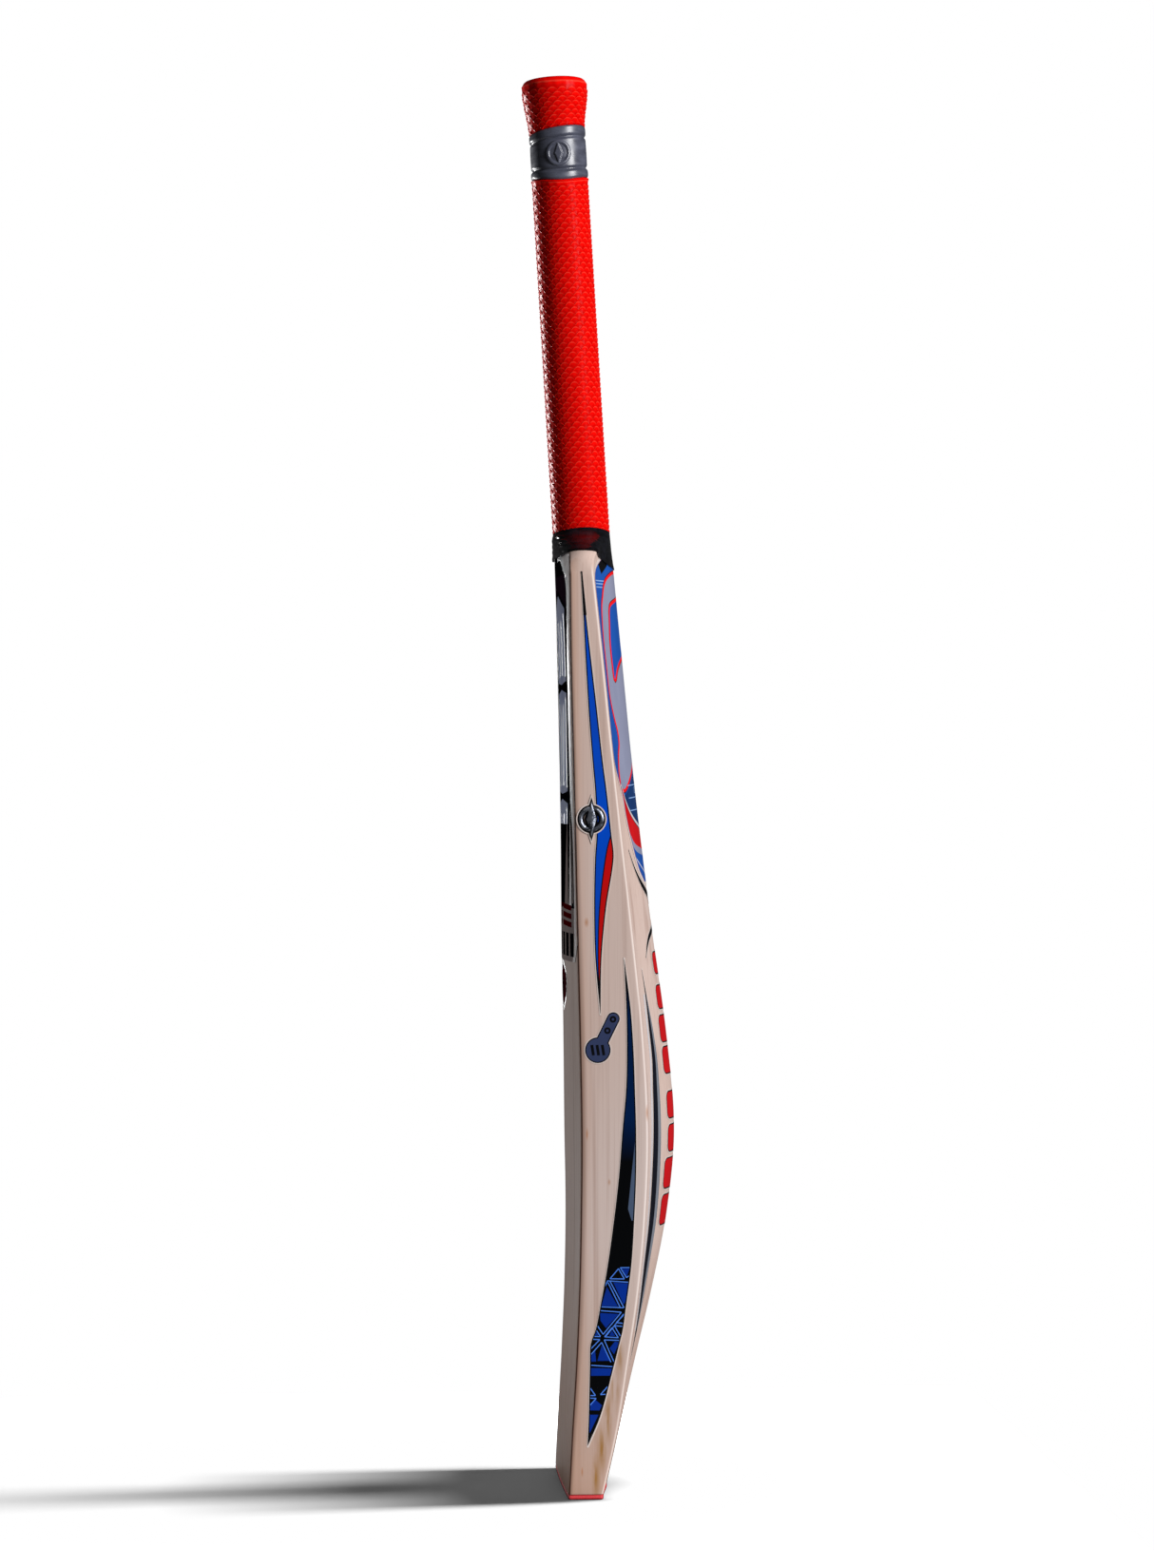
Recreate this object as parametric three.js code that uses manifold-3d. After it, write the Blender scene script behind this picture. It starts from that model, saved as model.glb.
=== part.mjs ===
// Cricket bat in millimetres. +Z runs up the bat from the bottom of the toe, +X across the blade,
// the hitting face looks towards -Y and the spine of the back towards +Y.
import * as THREE from 'three';
import { mergeVertices } from 'three/addons/utils/BufferGeometryUtils.js';
import Module from 'manifold-3d';

const wasm = await Module();
wasm.setup();
const { Manifold, Mesh } = wasm;

// ---- driving dimensions ----

const HALF_WIDTH = 54;
const GAP = 0.3; // clearance left between neighbouring pieces
const CORNER = 2.2; // rounding of the blade's four long corners
const FLANK_NEAR = 1.7; // the two powers shape the hollow between edge and spine
const FLANK_FAR = 1.8;

// Blade: height, line of the face at the edge, edge thickness, line of the spine, bow of the face.
const BLADE = [
  [0, -10.2, 20.2, 16.2, 0.6],
  [40, -8.1, 27.0, 25.4, 2.6],
  [80, -5.7, 31.0, 34.9, 3.4],
  [120, -4.0, 35.2, 44.6, 3.6],
  [165, -3.0, 38.5, 53.4, 4.0],
  [215, -2.6, 39.9, 57.9, 5.4],
  [270, -3.5, 38.2, 53.5, 5.0],
  [340, -5.2, 32.8, 43.9, 4.2],
  [420, -7.1, 25.7, 34.0, 2.4],
  [500, -9.1, 19.3, 26.0, 1.4],
  [566, -9.8, 12.8, 19.6, 4.2],
];
// Shoulder: height, half width, share of the round neck in the section.
const SHOULDER = [
  [548, 54, 0],
  [557, 53, 0.15],
  [562, 50, 0.4],
  [566, 43, 0.6],
  [570, 33, 0.8],
  [574, 22.5, 0.95],
  [578, 17, 1],
  [584, 17, 1],
];
const NECK_DEPTH = 16.6; // half depth of the neck
const TOE_GUARD = 2.6; // thickness of the rubber under the toe

// Handle, measured along its own axis from the place where the grip ends.
const HANDLE_FOOT = 577;
const AXIS_AT_FOOT = 1.48;
const LEAN = Math.atan(0.0606); // towards the face
const CANE_RADIUS = 13.9;
const CANE_TOP = 271;
const SLICE_Y = [-7, 0, 7]; // rubber between the layers of cane
const SLICE = 1.6;
const STRIP_X = 4.65; // glue lines between the strips of a layer
const SPLICE = { top: 14.2, tip: 2, tipHeight: 428 };
const COLLAR = { bottom: 213.5, top: 240.5 };

// Artwork stuck to the wood. Rows are height, near side, far side.
const FILM = 0.2;
const EDGE_UPPER = [
  [288, 8.6, 8.8], [321, 5.7, 9.4], [351, 5.0, 12.2], [380, 5.5, 16.6], [394, 6.4, 15.3],
  [418, 5.7, 12.7], [438, 4.0, 10.1], [469, 1.6, 6.6], [513, -0.9, 1.5], [548, -2.5, -2.3],
];
const EDGE_LOWER = [
  [32, 1.1, 1.3], [50, 1.8, 8.9], [80, 2.5, 17.0], [92, 2.9, 20.0], [101, 6.0, 22.2],
  [115, 8.8, 24.1], [139, 13.1, 27.2], [168, 17.1, 29.0], [193, 19.9, 30.0], [219, 21.9, 30.0],
  [243, 24.0, 29.3], [265, 24.5, 28.5], [290, 24.2, 26.8], [320, 22.8, 23.0],
];
const BACK_STRIPE = [
  [76, 34.9, 35.1], [98, 31.5, 36], [118, 30, 39], [140, 28.8, 40.5], [165, 27, 39.5],
  [203, 28.2, 39.6], [241, 28.1, 37.7], [260, 28, 35.6], [279, 30.5, 36.3], [298, 34.6, 36.6],
  [313, 37.4, 37.9],
];
const BACK_LABEL = [
  [365, 11], [372, 20], [387, 27.5], [404, 33.5], [420, 37], [432, 45], [440, 50], [480, 50],
  [520, 50], [554, 50],
];
const FACE_LABEL = [[318, 44], [330, 50], [400, 50], [455, 50], [510, 50], [554, 50]];
const FACE_MARK = [[289.5, 0.2], [296, 13.5], [303, 17.7], [310, 14.5], [316, 0.2]];
// Chevrons of the back: distance from the spine, lower side, upper side.
const CHEVRON_UPPER = [[0, 352, 357], [18, 361, 365.5], [27.5, 370.5, 373.5], [33.5, 380.5, 381.5]];
const CHEVRON_LOWER = [[0, 337, 341], [17, 330, 333.5], [23, 325, 328], [27.5, 319.5, 320.5]];
// Blocks of the spine: lower side, upper side, half width.
const SPINE_BLOCKS = [
  [158, 177, 22], [180, 199, 22], [202, 219, 18.5], [222, 239, 19], [249, 266, 19.7],
  [268, 285, 20], [288, 303, 18.4], [309, 323, 16.3],
];
const TAG = { y: 7.2, z: 266.3, radius: 7.3, stemY: 16.4, stemZ: 284.9, stemRadius: 3.5 };
const BADGE = { y: 3.4, z: 403.2, outer: 7.6, inner: 5.2, spikeHalf: 11, spikeWidth: 3.2 };

// ---- small helpers ----

const radians = THREE.MathUtils.degToRad;
const lerp = THREE.MathUtils.lerp;

// Smooth value of one column of a table at a height; the ends hold their value.
function curve(table, column, z) {
  const last = table.length - 1;
  if (z <= table[0][0]) return table[0][column];
  if (z >= table[last][0]) return table[last][column];
  const i = table.findIndex((row) => row[0] > z) - 1;
  const slope = (k) => {
    const before = table[Math.max(k - 1, 0)];
    const after = table[Math.min(k + 1, last)];
    return (after[column] - before[column]) / (after[0] - before[0]);
  };
  const span = table[i + 1][0] - table[i][0];
  const t = (z - table[i][0]) / span;
  const rise = t * t * (3 - 2 * t);
  const pull = t * (1 - t) * ((1 - t) * slope(i) - t * slope(i + 1)) * span;
  return lerp(table[i][column], table[i + 1][column], rise) + pull;
}

function steps(from, to, count) {
  return Array.from({ length: count + 1 }, (_, i) => lerp(from, to, i / count));
}

// Closed body from points and triangles, turned so that its faces look outwards.
function body(points, triangles) {
  let volume = 0;
  for (const [a, b, c] of triangles) {
    const [p, q, r] = [points[a], points[b], points[c]];
    volume += p[0] * (q[1] * r[2] - q[2] * r[1]);
    volume += p[1] * (q[2] * r[0] - q[0] * r[2]);
    volume += p[2] * (q[0] * r[1] - q[1] * r[0]);
  }
  const ordered = volume < 0 ? triangles.map(([a, b, c]) => [a, c, b]) : triangles;
  const geometry = new THREE.BufferGeometry();
  geometry.setAttribute('position', new THREE.Float32BufferAttribute(points.flat(), 3));
  geometry.setIndex(ordered.flat());
  return geometry;
}

// Solid through a stack of closed outlines of equal length, capped at both ends.
function loft(outlines) {
  const count = outlines[0].length;
  const triangles = [];
  for (let k = 0; k + 1 < outlines.length; k++) {
    for (let i = 0; i < count; i++) {
      const a = k * count + i;
      const b = k * count + (i + 1) % count;
      triangles.push([a, b, b + count], [a, b + count, a + count]);
    }
  }
  for (const k of [0, outlines.length - 1]) {
    const flat = outlines[k].map(([x, y]) => new THREE.Vector2(x, y));
    for (const [a, b, c] of THREE.ShapeUtils.triangulateShape(flat, [])) {
      const cap = [k * count + a, k * count + b, k * count + c];
      triangles.push(k === 0 ? cap.reverse() : cap);
    }
  }
  return body(outlines.flat(), triangles);
}

// Thin sheet over a surface. Each row runs between two points of the surface's own plane.
function sheet(surface, rows, columns, lift, thickness) {
  const probe = 0.05;
  const layers = [[], []];
  for (const [ua, va, ub, vb] of rows) {
    for (const s of steps(0, 1, columns)) {
      const u = lerp(ua, ub, s);
      const v = lerp(va, vb, s);
      const at = new THREE.Vector3(...surface(u, v));
      const alongU = new THREE.Vector3(...surface(u + probe, v)).sub(at);
      const alongV = new THREE.Vector3(...surface(u, v + probe)).sub(at);
      const normal = alongU.cross(alongV).normalize();
      if (surface.flip) normal.negate();
      layers[0].push(at.clone().addScaledVector(normal, lift).toArray());
      layers[1].push(at.clone().addScaledVector(normal, lift + thickness).toArray());
    }
  }
  const width = columns + 1;
  const size = layers[0].length;
  const triangles = [];
  const quad = (a, b, c, d) => triangles.push([a, b, c], [a, c, d]);
  for (let r = 0; r + 1 < rows.length; r++) {
    for (let c = 0; c < columns; c++) {
      const a = r * width + c;
      quad(size + a, size + a + 1, size + a + 1 + width, size + a + width);
      quad(a, a + width, a + 1 + width, a + 1);
    }
    const left = r * width;
    const right = left + columns;
    quad(left, size + left, size + left + width, left + width);
    quad(right, right + width, size + right + width, size + right);
  }
  for (let c = 0; c < columns; c++) {
    const top = (rows.length - 1) * width + c;
    quad(c, c + 1, size + c + 1, size + c);
    quad(top, size + top, size + top + 1, top + 1);
  }
  return body([...layers[0], ...layers[1]], triangles);
}

function toManifold(source) {
  const plain = source.clone();
  plain.deleteAttribute('normal');
  plain.deleteAttribute('uv');
  const merged = mergeVertices(plain, 1e-4);
  return new Manifold(new Mesh({
    numProp: 3,
    vertProperties: new Float32Array(merged.attributes.position.array),
    triVerts: new Uint32Array(merged.index.array),
  }));
}

function toGeometry(manifold) {
  const mesh = manifold.getMesh();
  const geometry = new THREE.BufferGeometry();
  geometry.setAttribute('position', new THREE.Float32BufferAttribute(mesh.vertProperties, 3));
  geometry.setIndex(Array.from(mesh.triVerts));
  return geometry;
}

// ---- blade surface ----

const halfWidth = (z) => curve(SHOULDER, 1, z);
const roundness = (z) => THREE.MathUtils.clamp(curve(SHOULDER, 2, z), 0, 1);
const faceLine = (z) => curve(BLADE, 1, z);
const backLine = (z) => faceLine(z) + curve(BLADE, 2, z);
const axisY = (z) => AXIS_AT_FOOT - Math.tan(LEAN) * (z - HANDLE_FOOT);

// Blend of the blade's own section with the ellipse of the neck.
function blend(t, y, angle, z) {
  const k = roundness(z);
  const x = halfWidth(z) * lerp(t, Math.cos(angle), k);
  return [x, lerp(y, axisY(z) + NECK_DEPTH * Math.sin(angle), k), z];
}

function faceAt(x, z) {
  const t = Math.abs(x) / halfWidth(z);
  const y = faceLine(z) - curve(BLADE, 4, z) * (1 - t * t);
  const point = blend(t, y, radians(-90 + 50 * t), z);
  return [x < 0 ? -point[0] : point[0], point[1], z];
}

function backAt(x, z) {
  const t = Math.abs(x) / halfWidth(z);
  const hollow = (1 - Math.min(t, 1) ** FLANK_NEAR) ** FLANK_FAR;
  const y = lerp(backLine(z), curve(BLADE, 3, z), hollow);
  const point = blend(t, y, radians(90 - 50 * t), z);
  return [x < 0 ? -point[0] : point[0], point[1], z];
}
backAt.flip = true;

const rightEdge = (y, z) => [HALF_WIDTH, y, z];
const leftEdge = (y, z) => [-HALF_WIDTH, y, z];
leftEdge.flip = true;

// Outline of the blade at a height, from the middle of the face round by +X.
function outline(z) {
  const width = halfWidth(z);
  const inset = width - CORNER;
  const low = faceLine(z);
  const high = backLine(z);
  const nick = 0.29 * CORNER;
  const half = [
    ...steps(0, inset, 6).map((x) => faceAt(x, z)),
    blend(1 - nick / width, low + nick, radians(-36), z),
    ...steps(-1, 1, 4).map((f) => {
      const y = lerp(low + CORNER, high - CORNER, (f + 1) / 2);
      return blend(1, y, radians(32 * f), z);
    }),
    blend(1 - nick / width, high - nick, radians(36), z),
    ...steps(inset, 0, 13).map((x) => backAt(x, z)),
  ];
  const mirrored = half.slice(1, -1).reverse().map(([x, y]) => [-x, y, z]);
  return [...half, ...mirrored];
}

function grown(ring, distance) {
  return ring.map(([x, y, z], i) => {
    const before = ring[(i + ring.length - 1) % ring.length];
    const after = ring[(i + 1) % ring.length];
    const length = Math.hypot(after[0] - before[0], after[1] - before[1]);
    const nx = (after[1] - before[1]) / length;
    const ny = (before[0] - after[0]) / length;
    return [x + distance * nx, y + distance * ny, z];
  });
}

// ---- handle frame ----

const handle = new THREE.Matrix4()
  .makeRotationX(LEAN)
  .setPosition(0, AXIS_AT_FOOT, HANDLE_FOOT);

// Body turned about the handle's axis from a profile of radius and distance along it.
function turned(profile, segments = 40) {
  const points = profile.map(([r, s]) => new THREE.Vector2(r, s));
  const geometry = new THREE.LatheGeometry([...points, points[0]], segments);
  return geometry.rotateX(Math.PI / 2).applyMatrix4(handle);
}

function handleBox(x0, x1, y0, y1, s0, s1) {
  const box = new THREE.BoxGeometry(x1 - x0, y1 - y0, s1 - s0);
  box.translate((x0 + x1) / 2, (y0 + y1) / 2, (s0 + s1) / 2);
  return toManifold(box.applyMatrix4(handle));
}

// Wedge of the splice, right through the blade; grow widens it to leave the glue line.
function spliceWedge(grow) {
  const top = 590;
  const rate = (SPLICE.top - SPLICE.tip) / (HANDLE_FOOT - SPLICE.tipHeight);
  const wide = SPLICE.tip + rate * (top - SPLICE.tipHeight) + grow;
  const narrow = SPLICE.tip + grow;
  const shape = new THREE.Shape([
    new THREE.Vector2(-narrow, SPLICE.tipHeight - grow),
    new THREE.Vector2(narrow, SPLICE.tipHeight - grow),
    new THREE.Vector2(wide, top),
    new THREE.Vector2(-wide, top),
  ]);
  const wedge = new THREE.ExtrudeGeometry(shape, { depth: 200, bevelEnabled: false });
  return toManifold(wedge.translate(0, 0, -100).rotateX(Math.PI / 2));
}

// ---- pieces ----

const group = new THREE.Group();
group.name = 'cricket_bat';

const LOOKS = {
  willow: [0xd9bfa6, 0.6],
  cane: [0xcfa868, 0.65],
  rubber_black: [0x1b1b1c, 0.85],
  twine: [0xd8cdb4, 0.9],
  grip: [0xe00f0a, 0.55],
  collar: [0x5c5f6b, 0.5],
  film_black: [0x101114, 0.25],
  toe_red: [0xb8323a, 0.6],
  label_blue: [0x2a5aa8, 0.35],
  label_dark: [0x2a2530, 0.3],
  slate: [0x4a4d60, 0.4],
  decal_red: [0xd8121a, 0.4],
  decal_blue: [0x0040b0, 0.35],
  decal_navy: [0x06122c, 0.35],
  silver: [0xa9adb4, 0.3],
};

function add(name, look, geometry) {
  const [color, roughness] = LOOKS[look];
  const metalness = look === 'silver' ? 0.9 : 0;
  const material = new THREE.MeshStandardMaterial({ color, roughness, metalness });
  material.name = look;
  const mesh = new THREE.Mesh(geometry, material);
  mesh.name = name;
  group.add(mesh);
}

const levels = [
  ...steps(TOE_GUARD + GAP, 548, 32),
  ...steps(550.5, 583, 13),
];
const blank = toManifold(loft(levels.map(outline)));
const aboveFoot = handleBox(-80, 80, -80, 80, 0, 60);
const shapedBlank = blank.subtract(aboveFoot);
add('willow_blade', 'willow', toGeometry(shapedBlank.subtract(spliceWedge(GAP))));
add('toe_guard', 'toe_red', loft([0, TOE_GUARD].map(outline)));

// Cane and rubber are strips cut from one handle shape: round above, a wedge in the splice.
const caneProfile = [
  [0, -1], [CANE_RADIUS, -1], [CANE_RADIUS, 250], [15.2, 259], [16.2, 265], [16.2, 269],
  [15, CANE_TOP], [0, CANE_TOP],
];
const caneRound = toManifold(turned(caneProfile.slice(1, -1).concat([[0, CANE_TOP], [0, -1]]), 32));
const handleShape = caneRound.add(shapedBlank.intersect(spliceWedge(0)));
const FAR = 60;
const layerEdges = [-FAR, ...SLICE_Y.flatMap((y) => [y - SLICE / 2, y + SLICE / 2]), FAR];
const columnEdges = [[-FAR, -STRIP_X], [-STRIP_X, STRIP_X], [STRIP_X, FAR]];
const half = GAP / 2;
for (let layer = 0; layer < 4; layer++) {
  const y0 = layerEdges[2 * layer] + half;
  const y1 = layerEdges[2 * layer + 1] - half;
  columnEdges.forEach(([x0, x1], column) => {
    const cell = handleBox(x0 + half, x1 - half, y0, y1, -200, 300);
    add(`cane_strip_${layer * 3 + column + 1}`, 'cane', toGeometry(handleShape.intersect(cell)));
  });
}
SLICE_Y.forEach((y, i) => {
  const cell = handleBox(-FAR, FAR, y - SLICE / 2 + half, y + SLICE / 2 - half, -200, 300);
  add(`rubber_insert_${i + 1}`, 'rubber_black', toGeometry(handleShape.intersect(cell)));
});

add('handle_binding', 'twine', turned([[14.1, 2], [14.5, 2], [14.5, 249], [14.1, 249]]));
add('grip', 'grip', turned([
  [14.8, GAP], [17.1, GAP], [17, 80], [16.9, COLLAR.bottom - GAP], [15.5, COLLAR.bottom],
  [15.5, COLLAR.top], [16.8, COLLAR.top + GAP], [17.5, 248], [18.7, 256], [19.6, 263],
  [19.8, 267], [19.4, 271], [18.2, 273], [16.5, 273.6], [9.5, 273.4], [9.3, 271.6],
  [16.6, 271.6], [16.8, 264.5], [15.6, 257], [14.8, 251.5],
]));
add('grip_collar', 'collar', turned([
  [15.7, COLLAR.bottom + GAP], [16.9, COLLAR.bottom + GAP], [17.2, 215], [17.1, 218],
  [16.5, 218.6], [16.5, 219.2], [16.9, 219.8], [16.8, 234], [16.4, 234.6], [16.4, 235.2],
  [17, 235.8], [17.1, 239], [16.8, COLLAR.top - GAP], [15.7, COLLAR.top - GAP],
]));

const wrapLevels = steps(558, 583, 10);
const wrapShell = (distance) => toManifold(loft(wrapLevels.map((z) => grown(outline(z), distance))));
const wrapped = wrapShell(1).subtract(wrapShell(0.5)).subtract(handleBox(-80, 80, -80, 80, 0, 60));
add('shoulder_wrap', 'film_black', toGeometry(wrapped.trimByPlane([0, 0, 1], 563.5)));

// Heights of a patch: its two ends and the blade's own levels between them.
function heights(rows) {
  const low = rows[0][0];
  const high = rows[rows.length - 1][0];
  return [low, ...levels.filter((z) => z > low + 1 && z < high - 1), high];
}
const across = (rows) => heights(rows).map((z) => [curve(rows, 1, z), z, curve(rows, 2, z), z]);
const symmetric = (rows) => heights(rows).map((z) => {
  const x = curve(rows, 1, z);
  return [-x, z, x, z];
});
// Rows of a chevron, from the tip of one arm over the spine to the tip of the other.
function chevron(rows) {
  const reach = rows[rows.length - 1][0];
  return steps(-reach, reach, 24).map((x) => {
    const [low, high] = [1, 2].map((column) => curve(rows, column, Math.abs(x)));
    return [x, low, x, high];
  });
}
add('face_label', 'label_dark', sheet(faceAt, symmetric(FACE_LABEL), 10, GAP, FILM));
add('face_mark', 'label_dark', sheet(faceAt, symmetric(FACE_MARK), 2, GAP, FILM));
add('back_label', 'label_blue', sheet(backAt, symmetric(BACK_LABEL), 22, GAP, FILM));
add('back_chevron_upper', 'film_black', sheet(backAt, chevron(CHEVRON_UPPER), 1, GAP, FILM));
add('back_chevron_lower', 'film_black', sheet(backAt, chevron(CHEVRON_LOWER), 1, GAP, FILM));
SPINE_BLOCKS.forEach(([low, high, half], i) => {
  const rows = steps(low, high, 2).map((z) => [-half, z, half, z]);
  add(`spine_block_${i + 1}`, 'decal_red', sheet(backAt, rows, 10, GAP, FILM));
});
for (const [side, sign, edge] of [['right', 1, rightEdge], ['left', -1, leftEdge]]) {
  const stripe = BACK_STRIPE.map(([z, a, b]) => [z, sign * a, sign * b]);
  add(`back_stripe_${side}`, 'slate', sheet(backAt, across(stripe), 3, GAP, FILM));
  add(`edge_upper_${side}`, 'decal_blue', sheet(edge, across(EDGE_UPPER), 1, GAP, FILM));
  add(`edge_lower_${side}`, 'decal_navy', sheet(edge, across(EDGE_LOWER), 1, GAP, FILM));
}

// Flat plates on the edges: drawn in Y and Z, then given their thickness along X.
const edgePlane = new THREE.Matrix4().makeBasis(
  new THREE.Vector3(0, 1, 0), new THREE.Vector3(0, 0, 1), new THREE.Vector3(1, 0, 0),
);
function edgePlate(shape, x, depth) {
  const plate = new THREE.ExtrudeGeometry(shape, { depth, bevelEnabled: false, curveSegments: 14 });
  return plate.applyMatrix4(edgePlane).translate(x, 0, 0);
}

// Keyhole of the weight tag: a ball with a slanting stem that ends round.
const stem = Math.atan2(TAG.stemZ - TAG.z, TAG.stemY - TAG.y);
const mouth = Math.asin(TAG.stemRadius / TAG.radius);
const tag = new THREE.Shape();
tag.absarc(TAG.y, TAG.z, TAG.radius, stem + mouth, stem - mouth + 2 * Math.PI);
tag.absarc(TAG.stemY, TAG.stemZ, TAG.stemRadius, stem - Math.PI / 2, stem + Math.PI / 2);
add('weight_tag', 'slate', edgePlate(tag, HALF_WIDTH + GAP, FILM));

// Badge: a ring crossed by an upright spike, raised clear of the decal it overlaps.
function badge(x) {
  const ring = new THREE.Shape().absarc(BADGE.y, BADGE.z, BADGE.outer, 0, 2 * Math.PI);
  ring.holes.push(new THREE.Path().absarc(BADGE.y, BADGE.z, BADGE.inner, 0, 2 * Math.PI, true));
  const spike = new THREE.Shape([
    new THREE.Vector2(BADGE.y, BADGE.z - BADGE.spikeHalf),
    new THREE.Vector2(BADGE.y + BADGE.spikeWidth, BADGE.z),
    new THREE.Vector2(BADGE.y, BADGE.z + BADGE.spikeHalf),
    new THREE.Vector2(BADGE.y - BADGE.spikeWidth, BADGE.z),
  ]);
  const [ringBody, spikeBody] = [ring, spike].map((shape) => toManifold(edgePlate(shape, x, 0.6)));
  return toGeometry(ringBody.add(spikeBody));
}
const badgeLift = 2 * GAP + FILM;
add('edge_badge_right', 'silver', badge(HALF_WIDTH + badgeLift));
add('edge_badge_left', 'silver', badge(-HALF_WIDTH - badgeLift - 0.6));

export default group;
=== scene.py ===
"""Cricket bat: visual pieces, materials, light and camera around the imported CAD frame.

Tables and surface functions work in millimetres, meshes are made in metres. +Z runs up the bat,
+X across it, the face looks towards -Y and the spine of the back towards +Y.
"""
import math

import bpy
from mathutils import Matrix, Vector
from mathutils.geometry import delaunay_2d_cdt


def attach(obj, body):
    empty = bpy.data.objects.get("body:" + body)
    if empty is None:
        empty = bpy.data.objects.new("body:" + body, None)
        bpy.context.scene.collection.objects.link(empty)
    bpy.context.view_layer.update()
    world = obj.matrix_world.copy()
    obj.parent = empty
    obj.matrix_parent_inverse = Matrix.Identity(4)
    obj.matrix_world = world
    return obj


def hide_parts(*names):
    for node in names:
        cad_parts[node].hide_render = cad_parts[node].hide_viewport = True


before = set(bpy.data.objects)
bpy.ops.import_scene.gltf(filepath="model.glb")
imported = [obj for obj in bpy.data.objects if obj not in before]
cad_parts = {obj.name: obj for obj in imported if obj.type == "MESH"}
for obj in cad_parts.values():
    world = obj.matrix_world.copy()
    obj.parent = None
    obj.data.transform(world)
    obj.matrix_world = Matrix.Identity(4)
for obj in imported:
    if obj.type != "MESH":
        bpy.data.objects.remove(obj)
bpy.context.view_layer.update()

# ---- dimensions of the CAD surface, in millimetres ----

HALF_WIDTH = 54.0
FACE_CORNER = 1.0
BACK_CORNER = 1.7
FLANK_NEAR = 1.7
FLANK_FAR = 1.8

# Height, line of the face at the edge, edge thickness, line of the spine, bow of the face.
BLADE = [
    (0, -10.2, 20.2, 16.2, 0.6),
    (40, -8.1, 27.0, 25.4, 2.6),
    (80, -5.7, 31.0, 34.9, 3.4),
    (120, -4.0, 35.2, 44.6, 3.6),
    (165, -3.0, 38.5, 53.4, 4.0),
    (215, -2.6, 39.9, 57.9, 5.4),
    (270, -3.5, 38.2, 53.5, 5.0),
    (340, -5.2, 32.8, 43.9, 4.2),
    (420, -7.1, 25.7, 34.0, 2.4),
    (500, -9.1, 19.3, 26.0, 1.4),
    (566, -9.8, 12.8, 19.6, 4.2),
]
# Height, half width, share of the round neck in the section.
SHOULDER = [
    (548, 54, 0),
    (557, 53, 0.15),
    (562, 50, 0.4),
    (566, 43, 0.6),
    (570, 33, 0.8),
    (574, 22.5, 0.95),
    (578, 17, 1),
    (584, 17, 1),
]
NECK_DEPTH = 16.6
NECK_GAP = 0.35
TOE_GUARD = 2.6
GAP = 0.3
HANDLE_FOOT = 577.0
AXIS_AT_FOOT = 1.48
LEAN = 0.0606
SPLICE_TIP = (2.0, 428.0)
SPLICE_TOP = (14.2, 577.0)

# Height, then the two sides in Y on an edge, or in X on the back.
EDGE_UPPER = [
    (288, 8.6, 8.8), (321, 5.7, 9.4), (351, 5.0, 12.2), (380, 5.5, 16.6), (394, 6.4, 15.3),
    (418, 5.7, 12.7), (438, 4.0, 10.1), (469, 1.6, 6.6), (513, -0.9, 1.5), (548, -2.5, -2.3),
]
EDGE_LOWER = [
    (32, 1.1, 1.3), (50, 1.8, 8.9), (80, 2.5, 17.0), (92, 2.9, 20.0), (101, 6.0, 22.2),
    (115, 8.8, 24.1), (139, 13.1, 27.2), (168, 17.1, 29.0), (193, 19.9, 30.0), (219, 21.9, 30.0),
    (243, 24.0, 29.3), (265, 24.5, 28.5), (290, 24.2, 26.8), (320, 22.8, 23.0),
]
BACK_STRIPE = [
    (76, 34.9, 35.1), (98, 31.5, 36), (118, 30, 39), (140, 28.8, 40.5), (165, 27, 39.5),
    (203, 28.2, 39.6), (241, 28.1, 37.7), (260, 28, 35.6), (279, 30.5, 36.3), (298, 34.6, 36.6),
    (313, 37.4, 37.9),
]
# Height, half width.
BACK_LABEL = [
    (365, 11), (372, 20), (387, 27.5), (404, 33.5), (420, 37), (432, 45), (440, 50), (480, 50),
    (520, 50), (544, 50), (552, 45), (558, 34), (561, 30),
]
FACE_LABEL = [
    (318, 44), (330, 50), (400, 50), (455, 50), (510, 50), (546, 50), (560, 31), (563, 27),
]
FACE_MARK = [(289.5, 0.2), (296, 13.5), (303, 17.7), (310, 14.5), (316, 0.2)]
# Distance from the spine, lower side, upper side.
CHEVRON_UPPER = [(0, 352, 357), (18, 361, 365.5), (27.5, 370.5, 373.5), (36, 383.5, 385)]
CHEVRON_LOWER = [(0, 337, 341), (17, 330, 333.5), (23, 325, 328), (27.5, 319.5, 320.5)]
# Lower side, upper side, half width.
SPINE_BLOCKS = [
    (158, 177, 22), (180, 199, 22), (202, 219, 18.5), (222, 239, 19), (249, 266, 19.7),
    (268, 285, 20), (288, 303, 18.4), (309, 323, 16.3),
]
# Y, Z and radius of the weight tag's two ends, then Y and Z of the badge's centre.
TAG_BALL = (7.2, 266.3, 7.3)
TAG_STEM = (16.4, 284.9, 3.5)
BADGE_CENTRE = (3.4, 403.2)
BADGE_OUTER = 7.6
BADGE_INNER = 5.2
SPIKE_HALF = 11.0
SPIKE_WIDTH = 3.2

# ---- dimensions of the visual detail, in millimetres ----

SCALES_ROUND = 20  # fish scales round the grip
SCALE_PITCH = 3.0  # between rows of scales
SCALE_ARCH = 2.1  # rise of a scale's rounded edge
SCALE_STEP = 0.6  # height of that edge over the scale above it
STICKER_LIFT = 0.05
STICKER_FILM = 0.12
LABEL_LIFT = 0.12
CARRIER = 0.45  # clear film left around the printed shapes
INK_LINE = 0.8  # black outline of the printed shapes
BADGE_LIFT = 0.34
BADGE_METAL_LIFT = 0.6
SHARP = 35  # degrees; a piece is smooth across flatter edges
ROUND_TURN = 1.45  # radians that the face's sheet can follow round its corner
EDGE_ANGLE = 32  # half the angle that the edge spans on the neck

# ---- small helpers ----


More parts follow.
